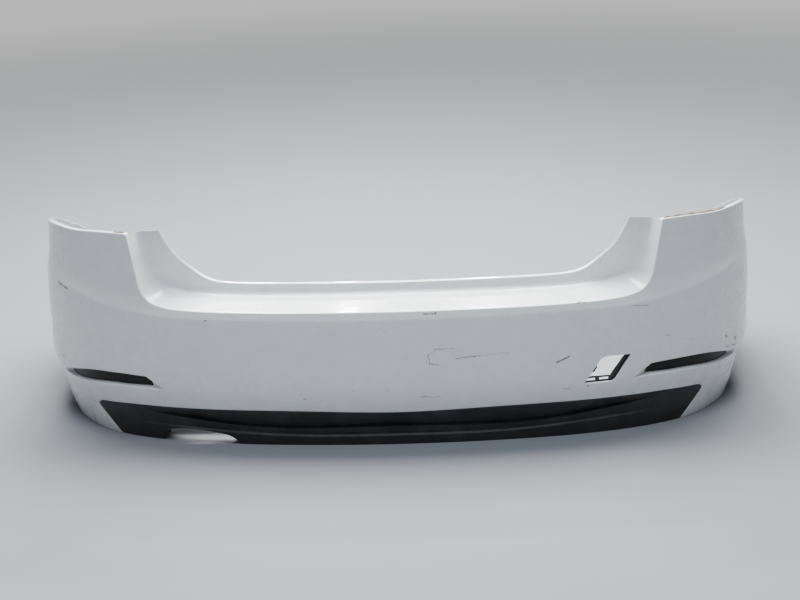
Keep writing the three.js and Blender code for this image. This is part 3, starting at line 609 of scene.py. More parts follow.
@dataclass
class BumperSkin:
    """Painted one-piece skin: face, lamp legs, shelf and gutter, recesses and flanges."""

    wall: float = 3.0
    step: float = 6.0
    spacing: float = 8.5
    flange: float = 26
    rim: float = 11
    valance_lip: float = 7
    shelf_edge: tuple = ((0, 351), (300, 351), (480, 353), (556, 362), (585, 380), (598, 410), (607, 470),
                         (616, 530))
    gutter_root: tuple = ((0, 365), (300, 363), (455, 364), (522, 369), (560, 390), (582, 420), (597, 470),
                          (606, 528))
    gutter_lip: tuple = ((0, 390), (300, 390), (430, 393), (478, 411), (512, 438), (534, 468), (549, 505),
                         (556, 528))
    gutter_depth: tuple = (90, 50)
    lip_depth: tuple = (96, 60)
    root_round: float = 16
    outline_rounds: tuple = (10, 12, 2.5, 2.5, 12, 10, 3, 3)
    crease_rows: tuple = (-8.5, -4, -1.2, 1.6, 5, 10)
    valance_top: tuple = ((0, 94), (200, 99), (500, 100), (600, 99), (652, 97), (720, 91))
    valance_corner: tuple = ((757, 87), (749, 67))
    valance_foot_x: float = 703
    rivet_x: tuple = (-450, -270, -90, 90, 270, 450)
    rivet_tab_half: float = 11
    rivet_tab_plate: tuple = ((30, 33), (101, 134))
    rivet_tab_arm: tuple = ((8, 30), (130, 134))
    lamp_tab_x: float = 690
    lamp_tab_z: float = 500
    lamp_tab_half: float = 14
    lamp_tab_reach: float = 38
    slot: ReflectorSlot = field(default_factory=ReflectorSlot)
    tow_eye: TowEyeOpening = field(default_factory=TowEyeOpening)

    def valance_outline(self, shrink: float) -> Points:
        """Upper outline of the valance from its right foot over the top to its left foot.

        Args:
            shrink: How much smaller than the opening the outline is.

        Returns:
            Rows (station, height).
        """
        top = Spline(self.valance_top, even=True)
        last = self.valance_top[-1][0]
        x = np.linspace(last, -last, 240)
        upper = np.stack([x, top(x) - shrink], -1)
        (cx, cz), (ex, ez) = self.valance_corner
        start = np.array([last, float(top(last)) - shrink])
        corner = np.array([cx - shrink, cz - shrink])
        end = np.array([ex - shrink, ez])
        arc = np.array(bezier(end, corner, start, 10))
        foot = np.array([[self.valance_foot_x - shrink, 0.0], end])
        right = np.vstack([foot, arc[1:]])
        outline = np.vstack([right, upper[1:-1], right[::-1] * (-1, 1)])
        outline[:, 0] = FORM.station_x(outline[:, 0])
        return outline

    def _shelf_curves(self) -> dict[str, tuple[Spline, Spline]]:
        """Splines (x, height) over the control number for the three lines of the channel."""
        lines = {"edge": self.shelf_edge, "root": self.gutter_root, "lip": self.gutter_lip}
        return {name: tuple(Spline(list(enumerate(column))) for column in np.array(line, float).T)
                for name, line in lines.items()}

    def _channel_line(self, name: str, t: Points) -> Points:
        """Points of the channel's root or lip at shelf numbers."""
        near, far = {"root": self.gutter_depth, "lip": self.lip_depth}[name]
        curve_x, curve_z = self._shelf_curves()[name]
        up = smooth(np.abs(t), 3, len(self.shelf_edge) - 1)
        x = np.sign(t) * curve_x(np.abs(t))
        return FORM.at(FORM.station_x(x), mix(near, far, up), curve_z(np.abs(t)))

    def _boundary(self) -> Points:
        """Outline of the face, counterclockwise: rows (station, height, return, rounding, shelf number)."""
        curves = self._shelf_curves()
        last = len(self.shelf_edge) - 1
        end, legs = FORM.end, float(FORM.station_x(self.leg_top_x))
        foot = float(FORM.station_x(self.valance_foot_x))

        def line(stations: Points, heights: Points, width: Points, radius: float) -> Points:
            """Rows of one stretch, evenly spaced, with no shelf number."""
            rows = np.broadcast_arrays(stations, heights, width, radius, np.nan)
            return resample(np.stack(rows, -1), self.step)

        many = np.linspace(0, 1, 200)
        lamp = mix(end, legs, many)
        width = mix(self.rim, self.flange, smooth(lamp, FORM.station_y(420), end))
        t = np.linspace(last, -last, 900)
        x = np.sign(t) * curves["edge"][0](np.abs(t))
        shelf = np.stack([FORM.station_x(x), curves["edge"][1](np.abs(t)), np.full(900, self.rim),
                          2.6 - 1.4 * smooth(np.abs(t), last - 1.5, last), t], -1)
        opening = self.valance_outline(0)[::-1]
        ones = np.ones_like(many)
        right_bottom = line(mix(foot, end, many), 0 * many, self.flange, 1.5)
        arch = line(end * ones, many * float(FORM.lamp(end)), self.flange, 1.5)
        top = line(lamp, FORM.lamp(lamp), width, 1.2)

        def mirrored(rows: Points) -> Points:
            """The same stretch on the other side, run the other way."""
            return rows[::-1] * (-1, 1, 1, 1, 1)

        parts = [right_bottom, arch, top, resample(shelf, self.step * 0.75), mirrored(top), mirrored(arch),
                 mirrored(right_bottom), line(opening[:, 0], opening[:, 1], self.valance_lip, 1.0)]
        return closed_loop(parts, self.outline_rounds)

    @property
    def leg_top_x(self) -> float:
        """Outer top corner of a lamp leg."""
        return self.shelf_edge[-1][0]

    def _rolled(self, sheet: Sheet, loop: Points, width: Points, radius: Points, way: Points | None = None,
                steps: int = 3) -> tuple[Points, Points]:
        """Rounded edge with a return flange along a closed loop on the face.

        Args:
            sheet: Surface that takes the quads.
            loop: Rows (station, height); material lies to the left.
            width: Width of the return at each point.
            radius: Rounding at each point.
            way: Directions of the return, inward where left out.
            steps: Quads across the flat of the return.

        Returns:
            The face's outline beside the rounding, rows (station, height), and the return's end points.
        """
        radius = np.broadcast_to(radius, len(loop))
        width = np.broadcast_to(width, len(loop))
        beside = loop + side_normals(loop) * radius[:, None]
        corner = FORM.on_face(loop)
        way = FORM.way_in(loop) if way is None else way
        rows = bezier(FORM.on_face(beside), corner, corner + way * radius[:, None], 4)
        for share in np.linspace(0, 1, steps + 1)[1:]:
            rows.append(corner + way * mix(radius, width, share)[:, None])
        sheet.grid(rows, closed=True)
        return beside, rows[-1]

    def _channel(self, sheet: Sheet, loop: Points, ends: Points) -> None:
        """Shelf, gutter root and gutter flange behind the shelf's edge.

        Args:
            sheet: Surface that takes the quads.
            loop: The boundary rows with their shelf numbers.
            ends: End points of the rolled edge for the same rows.
        """
        t = loop[:, 4]
        keep = ~np.isnan(t)
        t, start = t[keep], ends[keep]
        root, lip = self._channel_line("root", t), self._channel_line("lip", t)
        back, rise = unit(root - start), unit(lip - root)
        reach = np.minimum(self.root_round, 0.45 * np.linalg.norm(root - start, axis=1))[:, None]
        climb = np.minimum(self.root_round, 0.45 * np.linalg.norm(lip - root, axis=1))[:, None]
        near, far = root - back * reach, root + rise * climb
        rows = [mix(start, near, share) for share in np.linspace(0, 1, 7)]
        rows += bezier(near, root, far, 6)[1:]
        fold = 2.0
        rows += [mix(far, lip - rise * fold, share) for share in (0.5, 1)]
        rows += bezier(lip - rise * fold, lip, lip + back * fold, 4)[1:]
        rows.append(lip + back * 7)
        sheet.grid(rows)

    def _shelf_way(self, loop: Points) -> Points:
        """Directions of the return: level and inward, but along the shelf where there is one."""
        way = FORM.way_in(loop)
        keep = ~np.isnan(loop[:, 4])
        root = self._channel_line("root", loop[keep, 4])
        way[keep] = unit(root - FORM.on_face(loop[keep]))
        return way

    def _reflector_recess(self, sheet: Sheet, side: Side) -> Points:
        """Recess with its ledge and wedge, and the walls round the lens.

        Args:
            sheet: Surface that takes the quads.
            side: Left or right.

        Returns:
            The hole's outline for the face.
        """
        face, lens = self.slot.outlines(side, self.step * 0.7)
        face = np.stack([FORM.station_x(face[:, 0]), face[:, 1]], -1)
        seat = FORM.at(FORM.station_x(lens[:, 0]), self.slot.depth, lens[:, 1])
        behind = FORM.at(FORM.station_x(lens[:, 0]), self.slot.depth + self.slot.thick + 1, lens[:, 1])
        radius = 1.1
        beside = face + side_normals(face) * radius
        corner = FORM.on_face(face)
        way = unit(seat - corner)
        room = np.linalg.norm(seat - corner, axis=1)[:, None]
        turn = np.minimum(radius, 0.3 * room)
        rows = bezier(FORM.on_face(beside), corner, corner + way * turn, 4)
        rows += [mix(corner + way * turn, seat, share) for share in (0.33, 0.66, 1)]
        rows += [mix(seat, behind, share) for share in (0.5, 1)]
        sheet.grid(rows, closed=True)
        return beside

    def _tow_eye_recess(self, sheet: Sheet) -> Points:
        """Rebate, its floor with the way through and the clip slots.

        Args:
            sheet: Surface that takes the faces.

        Returns:
            The hole's outline for the face.
        """
        eye = self.tow_eye
        outline = eye.loop(eye.rebate, eye.corner, 3.0)[::-1]
        outline = np.stack([FORM.station_x(outline[:, 0]), outline[:, 1]], -1)
        width = eye.depth - FORM.face_depth(outline[:, 0], outline[:, 1])
        beside, _ = self._rolled(sheet, outline, width, 0.8, steps=3)

        def floor(flat: Points) -> Points:
            """Points on the rebate's floor."""
            return FORM.at(flat[:, 0], eye.depth, flat[:, 1])

        low, high = eye.clip_slot_z
        holes = [eye.loop(eye.way, 1.2, 3.0)]
        for x0, x1 in eye.clip_slots:
            holes.append(eye.loop(((x0, low), (x1, low), (x1, high), (x0, high)), 0.8, 2.5))
        flat_holes = [np.stack([FORM.station_x(h[:, 0]), h[:, 1]], -1) for h in holes]
        sheet.fill(outline[::-1], flat_holes, floor, 3.5)
        return beside

    def _tabs(self) -> Sheet:
        """Rivet tabs behind the lower edge and screw tabs under the lamps."""
        tabs = Sheet()
        for x in self.rivet_x:
            tabs.block(x, self.rivet_tab_half, *self.rivet_tab_plate)
            tabs.block(x, self.rivet_tab_half, *self.rivet_tab_arm)
        for side in Side:
            x = side.value * self.lamp_tab_x
            root = float(FORM.face_depth(FORM.station_x(x), self.lamp_tab_z)) + 1
            height = (self.lamp_tab_z - self.wall, self.lamp_tab_z)
            tabs.block(x, self.lamp_tab_half, (root, root + self.lamp_tab_reach), height)
        return tabs

    def build(self) -> bpy.types.Object:
        """Build the skin.

        Returns:
            The new piece.
        """
        sheet = Sheet()
        loop = self._boundary()
        beside, ends = self._rolled(sheet, loop[:, :2], loop[:, 2], loop[:, 3], self._shelf_way(loop))
        self._channel(sheet, loop, ends)
        holes = [self._reflector_recess(sheet, side) for side in Side]
        holes.append(self._tow_eye_recess(sheet))
        stations = np.arange(-FORM.end + 8, FORM.end - 8, 5.0)
        crease = FORM.crease(stations)
        guides = np.vstack([np.stack([stations, crease + off], -1) for off in self.crease_rows])
        sheet.fill(beside, holes, FORM.on_face, self.spacing, guides)
        return sheet.make("painted_skin", self.wall, self._tabs())


# ---------------------------------------------------------------- lower valance
@dataclass
class LowerValance:
    """Black valance below the skin, with two steps and the exhaust cut-out."""

    skin: BumperSkin
    wall: float = 3.0
    gap: float = 0.5
    bottom_return: float = 38
    notch_return: float = 34
    edge_return: float = 6
    step: float = 5.0
    spacing: float = 8.0
    notch: tuple = ((-583, 0), (-582, 12), (-574, 24), (-562, 32), (-540, 36), (-501, 37), (-450, 32),
                    (-416, 24), (-399, 13), (-384, 0))
    upper_step: tuple = ((0, 50), (360, 50), (430, 58), (500, 67), (560, 75), (620, 82), (757, 88))
    lower_step: tuple = ((0, 27), (300, 29), (370, 33), (450, 38), (560, 44), (757, 50))
    outline_rounds: tuple = (3, 3, 4, 4)
    step_rows: tuple = (-4.5, -1.6, 0, 1.6, 5)
    stud_x: tuple = (-556, -424)
    stud_z: float = 61
    stud_depth: tuple = (27.2, 37.5)
    stud_radius: float = 2.0
    pad_radius: float = 5.0
    tab_plate: tuple = ((33.4, 36.4), (80, 126))
    tab_arm: tuple = ((23, 33.4), (80, 84))

    def __post_init__(self) -> None:
        """Fit the step lines."""
        self.upper = Spline(self.upper_step, even=True)
        self.lower = Spline(self.lower_step, even=True)

    def surface(self, flat: Points, extra: Points = 0.0) -> Points:
        """Points of the valance's outer face at rows (station, height)."""
        station, z = flat[..., 0], flat[..., 1]
        x = FORM.x_at(station)
        relief = 1 - smooth(np.abs(x), 480, 660)
        upper, lower = self.upper(x), self.lower(x)
        fade = 1 - 0.93 * np.clip((z - upper - 2) / (91 - upper), 0, 1)
        steps = 6 * smooth(z - lower, -1.5, 1.5) + 9 * smooth(z - upper, -1.5, 2)
        depth = FORM.rear_depth(np.maximum(z, 0)) + 1 + relief * steps * fade
        return FORM.at(station, depth + extra, z)

    def _boundary(self) -> Points:
        """Outline, counterclockwise: rows (station, height, return)."""
        opening = self.skin.valance_outline(self.gap)
        feet = FORM.x_at(opening[[0, -1], 0])
        cut = np.array(self.notch, float)
        along = Spline(list(enumerate(cut[:, 0])))
        rise = Spline(list(enumerate(cut[:, 1])))
        t = np.linspace(0, len(cut) - 1, 120)

        def line(x: Points, z: Points, width: float) -> Points:
            """Rows of one stretch."""
            return resample(np.stack([FORM.station_x(x), z, np.full(len(x), width)], -1), self.step)

        flat = np.zeros(60)
        notch_x, notch_z = along(t), np.maximum(rise(t), 0)
        parts = [line(np.linspace(self.notch[-1][0], feet[0], 60), flat, self.bottom_return),
                 resample(np.column_stack([opening, np.full(len(opening), self.edge_return)]), self.step),
                 line(np.linspace(feet[1], self.notch[0][0], 60), flat, self.bottom_return),
                 line(notch_x, notch_z, self.notch_return)]
        return closed_loop(parts, self.outline_rounds)

    def build(self) -> bpy.types.Object:
        """Build the valance.

        Returns:
            The new piece.
        """
        sheet = Sheet()
        loop = self._boundary()
        flat, width = loop[:, :2], loop[:, 2:]
        radius = 1.4
        beside = flat + side_normals(flat) * radius
        corner = self.surface(flat)
        way = FORM.inward(flat[:, 0])
        rows = bezier(self.surface(beside), corner, corner + way * radius, 4)
        rows += [corner + way * mix(radius, width, share) for share in (0.33, 0.66, 1)]
        sheet.grid(rows, closed=True)
        x = np.arange(-745, 745, 4.0)
        stations = FORM.station_x(x)
        guides = [np.stack([stations, line(x) + off], -1) for line in (self.upper, self.lower)
                  for off in self.step_rows]
        sheet.fill(beside, [], self.surface, self.spacing, np.vstack(guides))
        return sheet.make("grained_valance", self.wall, self._fixings())

    def _fixings(self) -> Sheet:
        """Rivet tabs and the two studs of the heat shield."""
        fixings = Sheet()
        for x in self.skin.rivet_x:
            for depth, z in (self.tab_plate, self.tab_arm):
                fixings.block(x, self.skin.rivet_tab_half, depth, z)
        shield = (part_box("exhaust_heat_shield")[0].y - REARMOST) / MM
        for x, depth in zip(self.stud_x, self.stud_depth):
            face = FORM.at(FORM.station_x(x), depth, self.stud_z)[0]
            self._post(fixings, face, self.pad_radius, shield - 0.4)
            self._post(fixings, np.array([x, shield - 2, self.stud_z]), self.stud_radius, shield + 12)
        return fixings

    @staticmethod
    def _post(sheet: Sheet, start: Points, radius: float, end_y: float) -> None:
        """Round post along +Y with a closed end."""
        turn = np.linspace(0, 2 * math.pi, 20, endpoint=False)
        ring = np.stack([np.cos(turn), 0 * turn, np.sin(turn)], -1)
        length, bevel = end_y - start[1], 0.6
        profile = ((0, 0), (radius, 0), (radius, length - bevel), (radius - bevel, length), (0, length))
        rings = [start + ring * r + np.array([0, y, 0]) for r, y in profile]
        sheet.grid(rings, closed=True, flip=True)


# ---------------------------------------------------------------- reflectors
@dataclass
class Reflector:
    """Smoked reflector lens: a crowned bar with rounded edges."""

    side: Side
    slot: ReflectorSlot
    clearance: float = 0.7
    in_room: float = 1.5
    out_room: float = 4
    crown: float = 0.9
    edge_round: float = 1.1
    end_round: float = 0.015

    def build(self) -> bpy.types.Object:
        """Build the lens.

        Returns:
            The new piece.
        """
        slot = self.slot
        count, high = 70, 9
        t = np.linspace(0, 1, count)
        outer_x = slot.out_x - self.out_room
        top_x = mix(slot.in_top_x + self.in_room, outer_x, t)
        foot_x = mix(slot.in_foot_x + self.in_room, outer_x, t)
        top = np.stack([top_x, slot.top_z(top_x) - self.clearance], -1)
        foot = np.stack([foot_x, slot.foot_z(foot_x) + self.clearance], -1)
        sign = self.side.value

        def row(share: float, depth: float, tuck: float) -> Points:
            """Points of one row of the lens from its foot to its top."""
            flat = mix(foot, top, share)
            ends = np.minimum(t, 1 - t)
            depth_here = depth + tuck * (1 - smooth(ends, 0, self.end_round))
            return FORM.at(FORM.station_x(sign * flat[:, 0]), depth_here, flat[:, 1])

        rows = []
        for share in np.linspace(0, 1, high):
            bow = self.crown * (1 - (2 * share - 1) ** 2)
            soft = self.edge_round * (1 - smooth(min(share, 1 - share), 0, 0.12))
            rows.append(row(float(share), slot.depth - bow + float(soft), 1.0))
        back = slot.depth + slot.thick - 0.6
        rows += [row(1, back, 0), row(0, back, 0)]
        sheet = Sheet()
        sheet.tube(list(np.stack(rows, axis=1)), self.side is Side.RIGHT)
        return sheet.make(f"smoked_reflector_{self.side.word}")


# ---------------------------------------------------------------- foam
@dataclass
class LampFoam:
    """Torn sealing foam left on the rim under a lamp."""

    side: Side
    from_x: float
    to_x: float
    rise: float = 3.6
    width: float = 6.0
    set_back: float = 4.6
    step: float = 1.6
    seed: float = 3.0

    def build(self) -> bpy.types.Object:
        """Build the strip.

        Returns:
            The new piece.
        """
        count, around = int(abs(self.to_x - self.from_x) / self.step), 12
        x = np.linspace(self.from_x, self.to_x, count)
        stations = self.side.value * FORM.station_x(x)
        z = FORM.lamp(stations)
        depth = FORM.face_depth(stations, z) + self.set_back
        rings = []
        for i in range(count):
            torn = 0.5 + 0.5 * noise.noise(Vector((x[i] * 0.06, self.seed, 0)))
            patch = max(0.12, min(1.0, 1.6 * torn - 0.15)) * min(1.0, 0.2 + 0.16 * min(i, count - 1 - i))
            ring = []
            for k in range(around):
                angle = 2 * math.pi * k / around
                rough = 1 + 0.22 * noise.noise(Vector((x[i] * 0.35, k * 0.9, self.seed)))
                across = self.width / 2 * (1 + math.cos(angle) * rough * 0.92)
                up = 0.45 + self.rise * patch * 0.5 * (1 + math.sin(angle) * min(rough, 1.0))
                ring.append(FORM.at(stations[i], depth[i] + across, z[i] + up)[0])
            rings.append(np.array(ring))
        sheet = Sheet()
        sheet.tube(rings, self.side is Side.LEFT)
        return sheet.make(f"sealing_foam_{self.side.word}")


# ---------------------------------------------------------------- materials
class Nodes:
    """Small helper that builds a material's nodes."""

    def __init__(self, name: str) -> None:
        """Start a material with one Principled shader."""
        self.material = bpy.data.materials.new(name)
        self.material.use_nodes = True
        self.tree = self.material.node_tree
        self.shader = self.tree.nodes["Principled BSDF"]
        self.place = self.add("ShaderNodeTexCoord").outputs["Object"]

    def add(self, kind: str, **values: object) -> bpy.types.Node:
        """Add a node.

        Args:
            kind: Blender's node type.
            values: Attributes of the node, or inputs by name with spaces as underscores.

        Returns:
            The node.
        """
        node = self.tree.nodes.new(kind)
        for key, value in values.items():
            if hasattr(node, key):
                setattr(node, key, value)
            else:
                self.feed(node.inputs[key.replace("_", " ")], value)
        return node

    def feed(self, socket: bpy.types.NodeSocket, value: object) -> None:
        """Link a socket or set its value."""
        if isinstance(value, bpy.types.NodeSocket):
            self.tree.links.new(value, socket)
        else:
            socket.default_value = value

    def math(self, kind: str, *values: object, clamp: bool = False) -> bpy.types.NodeSocket:
        """Maths node on up to three values."""
        node = self.tree.nodes.new("ShaderNodeMath")
        node.operation = kind
        node.use_clamp = clamp
        for socket, value in zip(node.inputs, values):
            self.feed(socket, value)
        return node.outputs[0]

    def noise(self, scale: float, detail: float = 2.0, rough: float = 0.5,
              at: object = None) -> bpy.types.NodeSocket:
        """Noise from 0 to 1 at a scale per metre."""
        return self.add("ShaderNodeTexNoise", Vector=at or self.place, Scale=scale, Detail=detail,
                        Roughness=rough).outputs["Fac"]

    def ramp(self, value: object, low: float, high: float, to_low: float = 0.0,
             to_high: float = 1.0) -> bpy.types.NodeSocket:
        """Value carried from one range to another and held there."""
        node = self.add("ShaderNodeMapRange", Value=value, From_Min=low, From_Max=high,
                        To_Min=to_low, To_Max=to_high)
        return node.outputs["Result"]

    def blend(self, share: object, a: object, b: object) -> bpy.types.NodeSocket:
        """Colour mixed from a to b."""
        node = self.tree.nodes.new("ShaderNodeMix")
        node.data_type = "RGBA"
        self.feed(node.inputs[0], share)
        self.feed(node.inputs[6], a)
        self.feed(node.inputs[7], b)
        return node.outputs[2]

    def bump(self, height: object, distance: float, strength: float = 1.0, after: object = None) -> object:
        """Bump from a height, on top of another bump if one is given."""
        node = self.add("ShaderNodeBump", Height=height, Distance=distance, Strength=strength)
        if after is not None:
            self.feed(node.inputs["Normal"], after)
        return node.outputs["Normal"]

    def set(self, **values: object) -> None:
        """Set or link inputs of the Principled shader."""
        for key, value in values.items():
            self.feed(self.shader.inputs[key.replace("_", " ")], value)


def rgb(red: float, green: float, blue: float) -> tuple[float, float, float, float]:
    """Colour with full alpha."""
    return red, green, blue, 1.0


@dataclass(frozen=True)
class Stroke:
    """A mark on the paint between two places on the rear face, (x, z) in millimetres."""

    start: tuple[float, float]
    end: tuple[float, float]
    width: float
    strength: float = 1.0


class Mark(Enum):
    """Kinds of damage to the paint."""

    SCUFF = "scuff"
    BARE = "bare"
    SMEAR = "smear"


MARKS = {
    Mark.SCUFF: (
        Stroke((-812, 375), (-786, 370), 3.6), Stroke((-39, 313), (-19, 300), 0.9, 0.7),
        Stroke((-439, 333), (-437, 333), 2.4), Stroke((546, 333), (583, 328), 1.7, 0.8),
        Stroke((134, 257), (90, 257), 1.3, 0.7), Stroke((90, 257), (71, 243), 1.2, 0.7),
        Stroke((71, 243), (75, 222), 1.5, 0.8), Stroke((75, 222), (98, 216), 1.6, 0.8),
        Stroke((133, 232), (191, 237), 1.5, 0.8), Stroke((191, 237), (260, 241), 0.8, 0.6),
        Stroke((367, 208), (400, 220), 3.2, 0.7), Stroke((628, 248), (667, 231), 0.8, 0.5),
        Stroke((667, 231), (707, 219), 0.8, 0.5), Stroke((-107, 158), (-104, 157), 1.6, 0.8),
        Stroke((-28, 157), (-24, 157), 1.5, 0.7), Stroke((385, 138), (404, 136), 1.3, 0.7),
        Stroke((443, 139), (446, 139), 2.2, 0.8), Stroke((300, 214), (352, 210), 0.7, 0.4),
        Stroke((787, 113), (789, 110), 2.4, 0.8), Stroke((240, 196), (290, 190), 0.7, 0.35)),
    Mark.BARE: (
        Stroke((64, 344), (92, 344), 1.5), Stroke((414, 351), (435, 350), 1.7, 0.9),
        Stroke((52, 136), (104, 133), 1.4, 0.6), Stroke((-221, 135), (-216, 135), 1.7, 0.7),
        Stroke((828, 179), (832, 172), 3.4), Stroke((796, 196), (800, 191), 3.2, 0.9),
        Stroke((801, 166), (808, 161), 2.6), Stroke((820, 160), (833, 156), 2.2),
        Stroke((-836, 75), (-831, 72), 2.8, 0.8), Stroke((-833, 176), (-829, 172), 2.6)),
    Mark.SMEAR: (
        Stroke((-746, 287), (-700, 262), 7.0, 0.5), Stroke((-710, 250), (-698, 243), 6.0, 0.5),
        Stroke((-770, 262), (-752, 240), 6.0, 0.35), Stroke((84, 230), (96, 246), 9.0, 0.35),
        Stroke((150, 226), (225, 228), 6.0, 0.3)),
}


def stroke_group() -> bpy.types.NodeTree:
    """Node group that gives 1 on a straight mark and 0 away from it.

    Returns:
        The group. Its inputs are Place, the mark's unit directions Along and Across, how far its middle
        is in each, half its length, and Fade, which is 1 over the distance in which it fades.
    """
    group = bpy.data.node_groups.new("stroke", "ShaderNodeTree")
    vectors, floats = ("Place", "Along", "Across"), ("Middle", "Offset", "Half", "Fade")
    for name in vectors:
        group.interface.new_socket(name, in_out="INPUT", socket_type="NodeSocketVector")
    for name in floats:
        group.interface.new_socket(name, in_out="INPUT", socket_type="NodeSocketFloat")
    group.interface.new_socket("Mask", in_out="OUTPUT", socket_type="NodeSocketFloat")
    ends = group.nodes.new("NodeGroupInput").outputs

    def step(kind: str, *values: object, clamp: bool = False) -> bpy.types.NodeSocket:
        """Maths node on linked or plain values."""
        node = group.nodes.new("ShaderNodeMath")
        node.operation = kind
        node.use_clamp = clamp
        for socket, value in zip(node.inputs, values):
            if isinstance(value, float):
                socket.default_value = value
            else:
                group.links.new(value, socket)
        return node.outputs[0]

    def measured(direction: str, middle: str) -> bpy.types.NodeSocket:
        """Distance from the mark's middle in one direction."""
        dot = group.nodes.new("ShaderNodeVectorMath")
        dot.operation = "DOT_PRODUCT"
        group.links.new(ends["Place"], dot.inputs[0])
        group.links.new(ends[direction], dot.inputs[1])
        return step("ABSOLUTE", step("SUBTRACT", dot.outputs["Value"], ends[middle]))

    along = step("SUBTRACT", measured("Along", "Middle"), ends["Half"])
    distance = step("MAXIMUM", along, measured("Across", "Offset"))
    mask = step("SUBTRACT", 1.0, step("MULTIPLY", distance, ends["Fade"]), clamp=True)
    group.links.new(mask, group.nodes.new("NodeGroupOutput").inputs[0])
    return group


@dataclass(frozen=True)
class WhitePaint:
    """Gloss white paint with dust, fine orange peel, the marks of use and painted shade in the tow-eye
    rebate.
    """

    base: tuple = rgb(0.775, 0.80, 0.83)
    rough: float = 0.22

    @staticmethod
    def _rebate_painted_shade(n: Nodes) -> bpy.types.NodeSocket:
        """Mask of the tow-eye opening's rebate behind the face, where near-black is painted as the shade
        inside the recess.
        """
        x, y, z = n.add("ShaderNodeSeparateXYZ", Vector=n.place).outputs
        plan_slope, front, fade = 0.2, REARMOST - 0.0515, 0.001
        depth = n.math("SUBTRACT", y, n.math("MULTIPLY", x, plan_slope))
        mask = n.ramp(depth, front, front + fade)
        for value, low, high in ((x, 0.430, 0.560), (z, 0.140, 0.220)):
            mask = n.math("MULTIPLY", mask, n.math("GREATER_THAN", value, low))
            mask = n.math("MULTIPLY", mask, n.math("LESS_THAN", value, high))
        return mask

    @staticmethod
    def _ragged(n: Nodes) -> bpy.types.NodeSocket:
        """Object position pushed about a little, so that marks have ragged edges."""
        place = n.place
        wobble = n.add("ShaderNodeTexNoise", Vector=place, Scale=160.0, Detail=3.0).outputs["Color"]
        node = n.add("ShaderNodeVectorMath", operation="MULTIPLY_ADD")
        n.feed(node.inputs[0], wobble)
        node.inputs[1].default_value = (0.010, 0.0, 0.010)
        n.feed(node.inputs[2], place)
        return node.outputs[0]

    @staticmethod
    def _marks(n: Nodes, group: bpy.types.NodeTree, place: bpy.types.NodeSocket,
               kind: Mark) -> bpy.types.NodeSocket:
        """Mask of all marks of a kind.

        Args:
            n: The paint's nodes.
            group: The stroke node group.
            place: Position to measure from.
            kind: Which marks.

        Returns:
            A value from 0 to 1.
        """
        total: object = 0.0
        drift = 0.005
        for stroke in MARKS[kind]:
            node = n.tree.nodes.new("ShaderNodeGroup")
            node.node_tree = group
            n.feed(node.inputs["Place"], place)
            start, end = (np.array(p) * MM + drift for p in (stroke.start, stroke.end))
            length = float(np.linalg.norm(end - start))
            ux, uz = (end - start) / length
            middle = (start + end) / 2
            node.inputs["Along"].default_value = (ux, 0, uz)
            node.inputs["Across"].default_value = (-uz, 0, ux)
            node.inputs["Middle"].default_value = float(middle @ (ux, uz))
            node.inputs["Offset"].default_value = float(middle @ (-uz, ux))
            node.inputs["Half"].default_value = length / 2
            node.inputs["Fade"].default_value = 1 / (stroke.width * MM)
            total = n.math("MAXIMUM", total, n.math("MULTIPLY", node.outputs[0], stroke.strength))
        broken = n.ramp(n.noise(380.0, 3.0), 0.38, 0.55, 0.35, 1.0)
        return n.math("MULTIPLY", n.ramp(total, 0.05, 0.5), n.math("MULTIPLY", total, broken), clamp=True)

    def material(self) -> bpy.types.Material:
        """Build the paint."""
        n = Nodes("white_paint")
        group = stroke_group()
        dust = n.ramp(n.noise(7.0, 4.0, 0.6), 0.42, 0.75)
        place = self._ragged(n)
        normal = n.add("ShaderNodeTexCoord").outputs["Normal"]
        outward = n.add("ShaderNodeSeparateXYZ", Vector=normal).outputs["Y"]
        outside = n.math("LESS_THAN", outward, 0.02)
        masks = [self._marks(n, group, place, kind) for kind in Mark]
        scuff, bare, smear = (n.math("MULTIPLY", outside, mask) for mask in masks)
        colour = n.blend(n.math("MULTIPLY", dust, 0.18), self.base, rgb(0.70, 0.69, 0.66))
        colour = n.blend(smear, colour, rgb(0.95, 0.95, 0.94))
        colour = n.blend(n.math("MULTIPLY", scuff, 2.6, clamp=True), colour, rgb(0.03, 0.03, 0.035))
        colour = n.blend(n.math("MULTIPLY", bare, 2.6, clamp=True), colour, rgb(0.09, 0.04, 0.025))
        # Painted shade: the rebate's walls and floor are turned near-black for the shadow inside the
        # tow-eye recess.
        rebate = self._rebate_painted_shade(n)
        colour = n.blend(rebate, colour, rgb(0.012, 0.012, 0.013))
        worn = n.math("MAXIMUM", scuff, bare)
        peel = n.bump(n.noise(420.0, 2.0), 0.00006, 0.35)
        n.set(Base_Color=colour, Normal=n.bump(n.math("SUBTRACT", 1.0, worn), 0.0004, 0.6, peel),
              Roughness=n.math("ADD", n.ramp(n.noise(22.0, 4.0), 0.3, 0.8, self.rough, self.rough + 0.14),
                               n.math("MULTIPLY", worn, 0.5), clamp=True))
        dull = n.math("MAXIMUM", worn, rebate)
        n.set(Coat_Weight=n.math("SUBTRACT", 0.85, dull, clamp=True), Coat_Roughness=0.06, IOR=1.5)
        return n.material


@dataclass(frozen=True)
class GrainedBlack:
    """Unpainted black plastic with a moulded grain and grey dust."""

    base: tuple = rgb(0.020, 0.0215, 0.023)

    def material(self) -> bpy.types.Material:
        """Build the plastic."""
        n = Nodes("grained_black_plastic")
        grain = n.add("ShaderNodeTexVoronoi", Vector=n.place, Scale=1100.0).outputs["Distance"]
        dust = n.ramp(n.noise(16.0, 5.0, 0.65), 0.45, 0.8)
        colour = n.blend(n.math("MULTIPLY", dust, 0.6), self.base, rgb(0.060, 0.067, 0.072))
        n.set(Base_Color=colour, Roughness=n.ramp(dust, 0.0, 1.0, 0.42, 0.62),
              Normal=n.bump(grain, 0.00012, 0.7), Specular_IOR_Level=0.45)
        return n.material


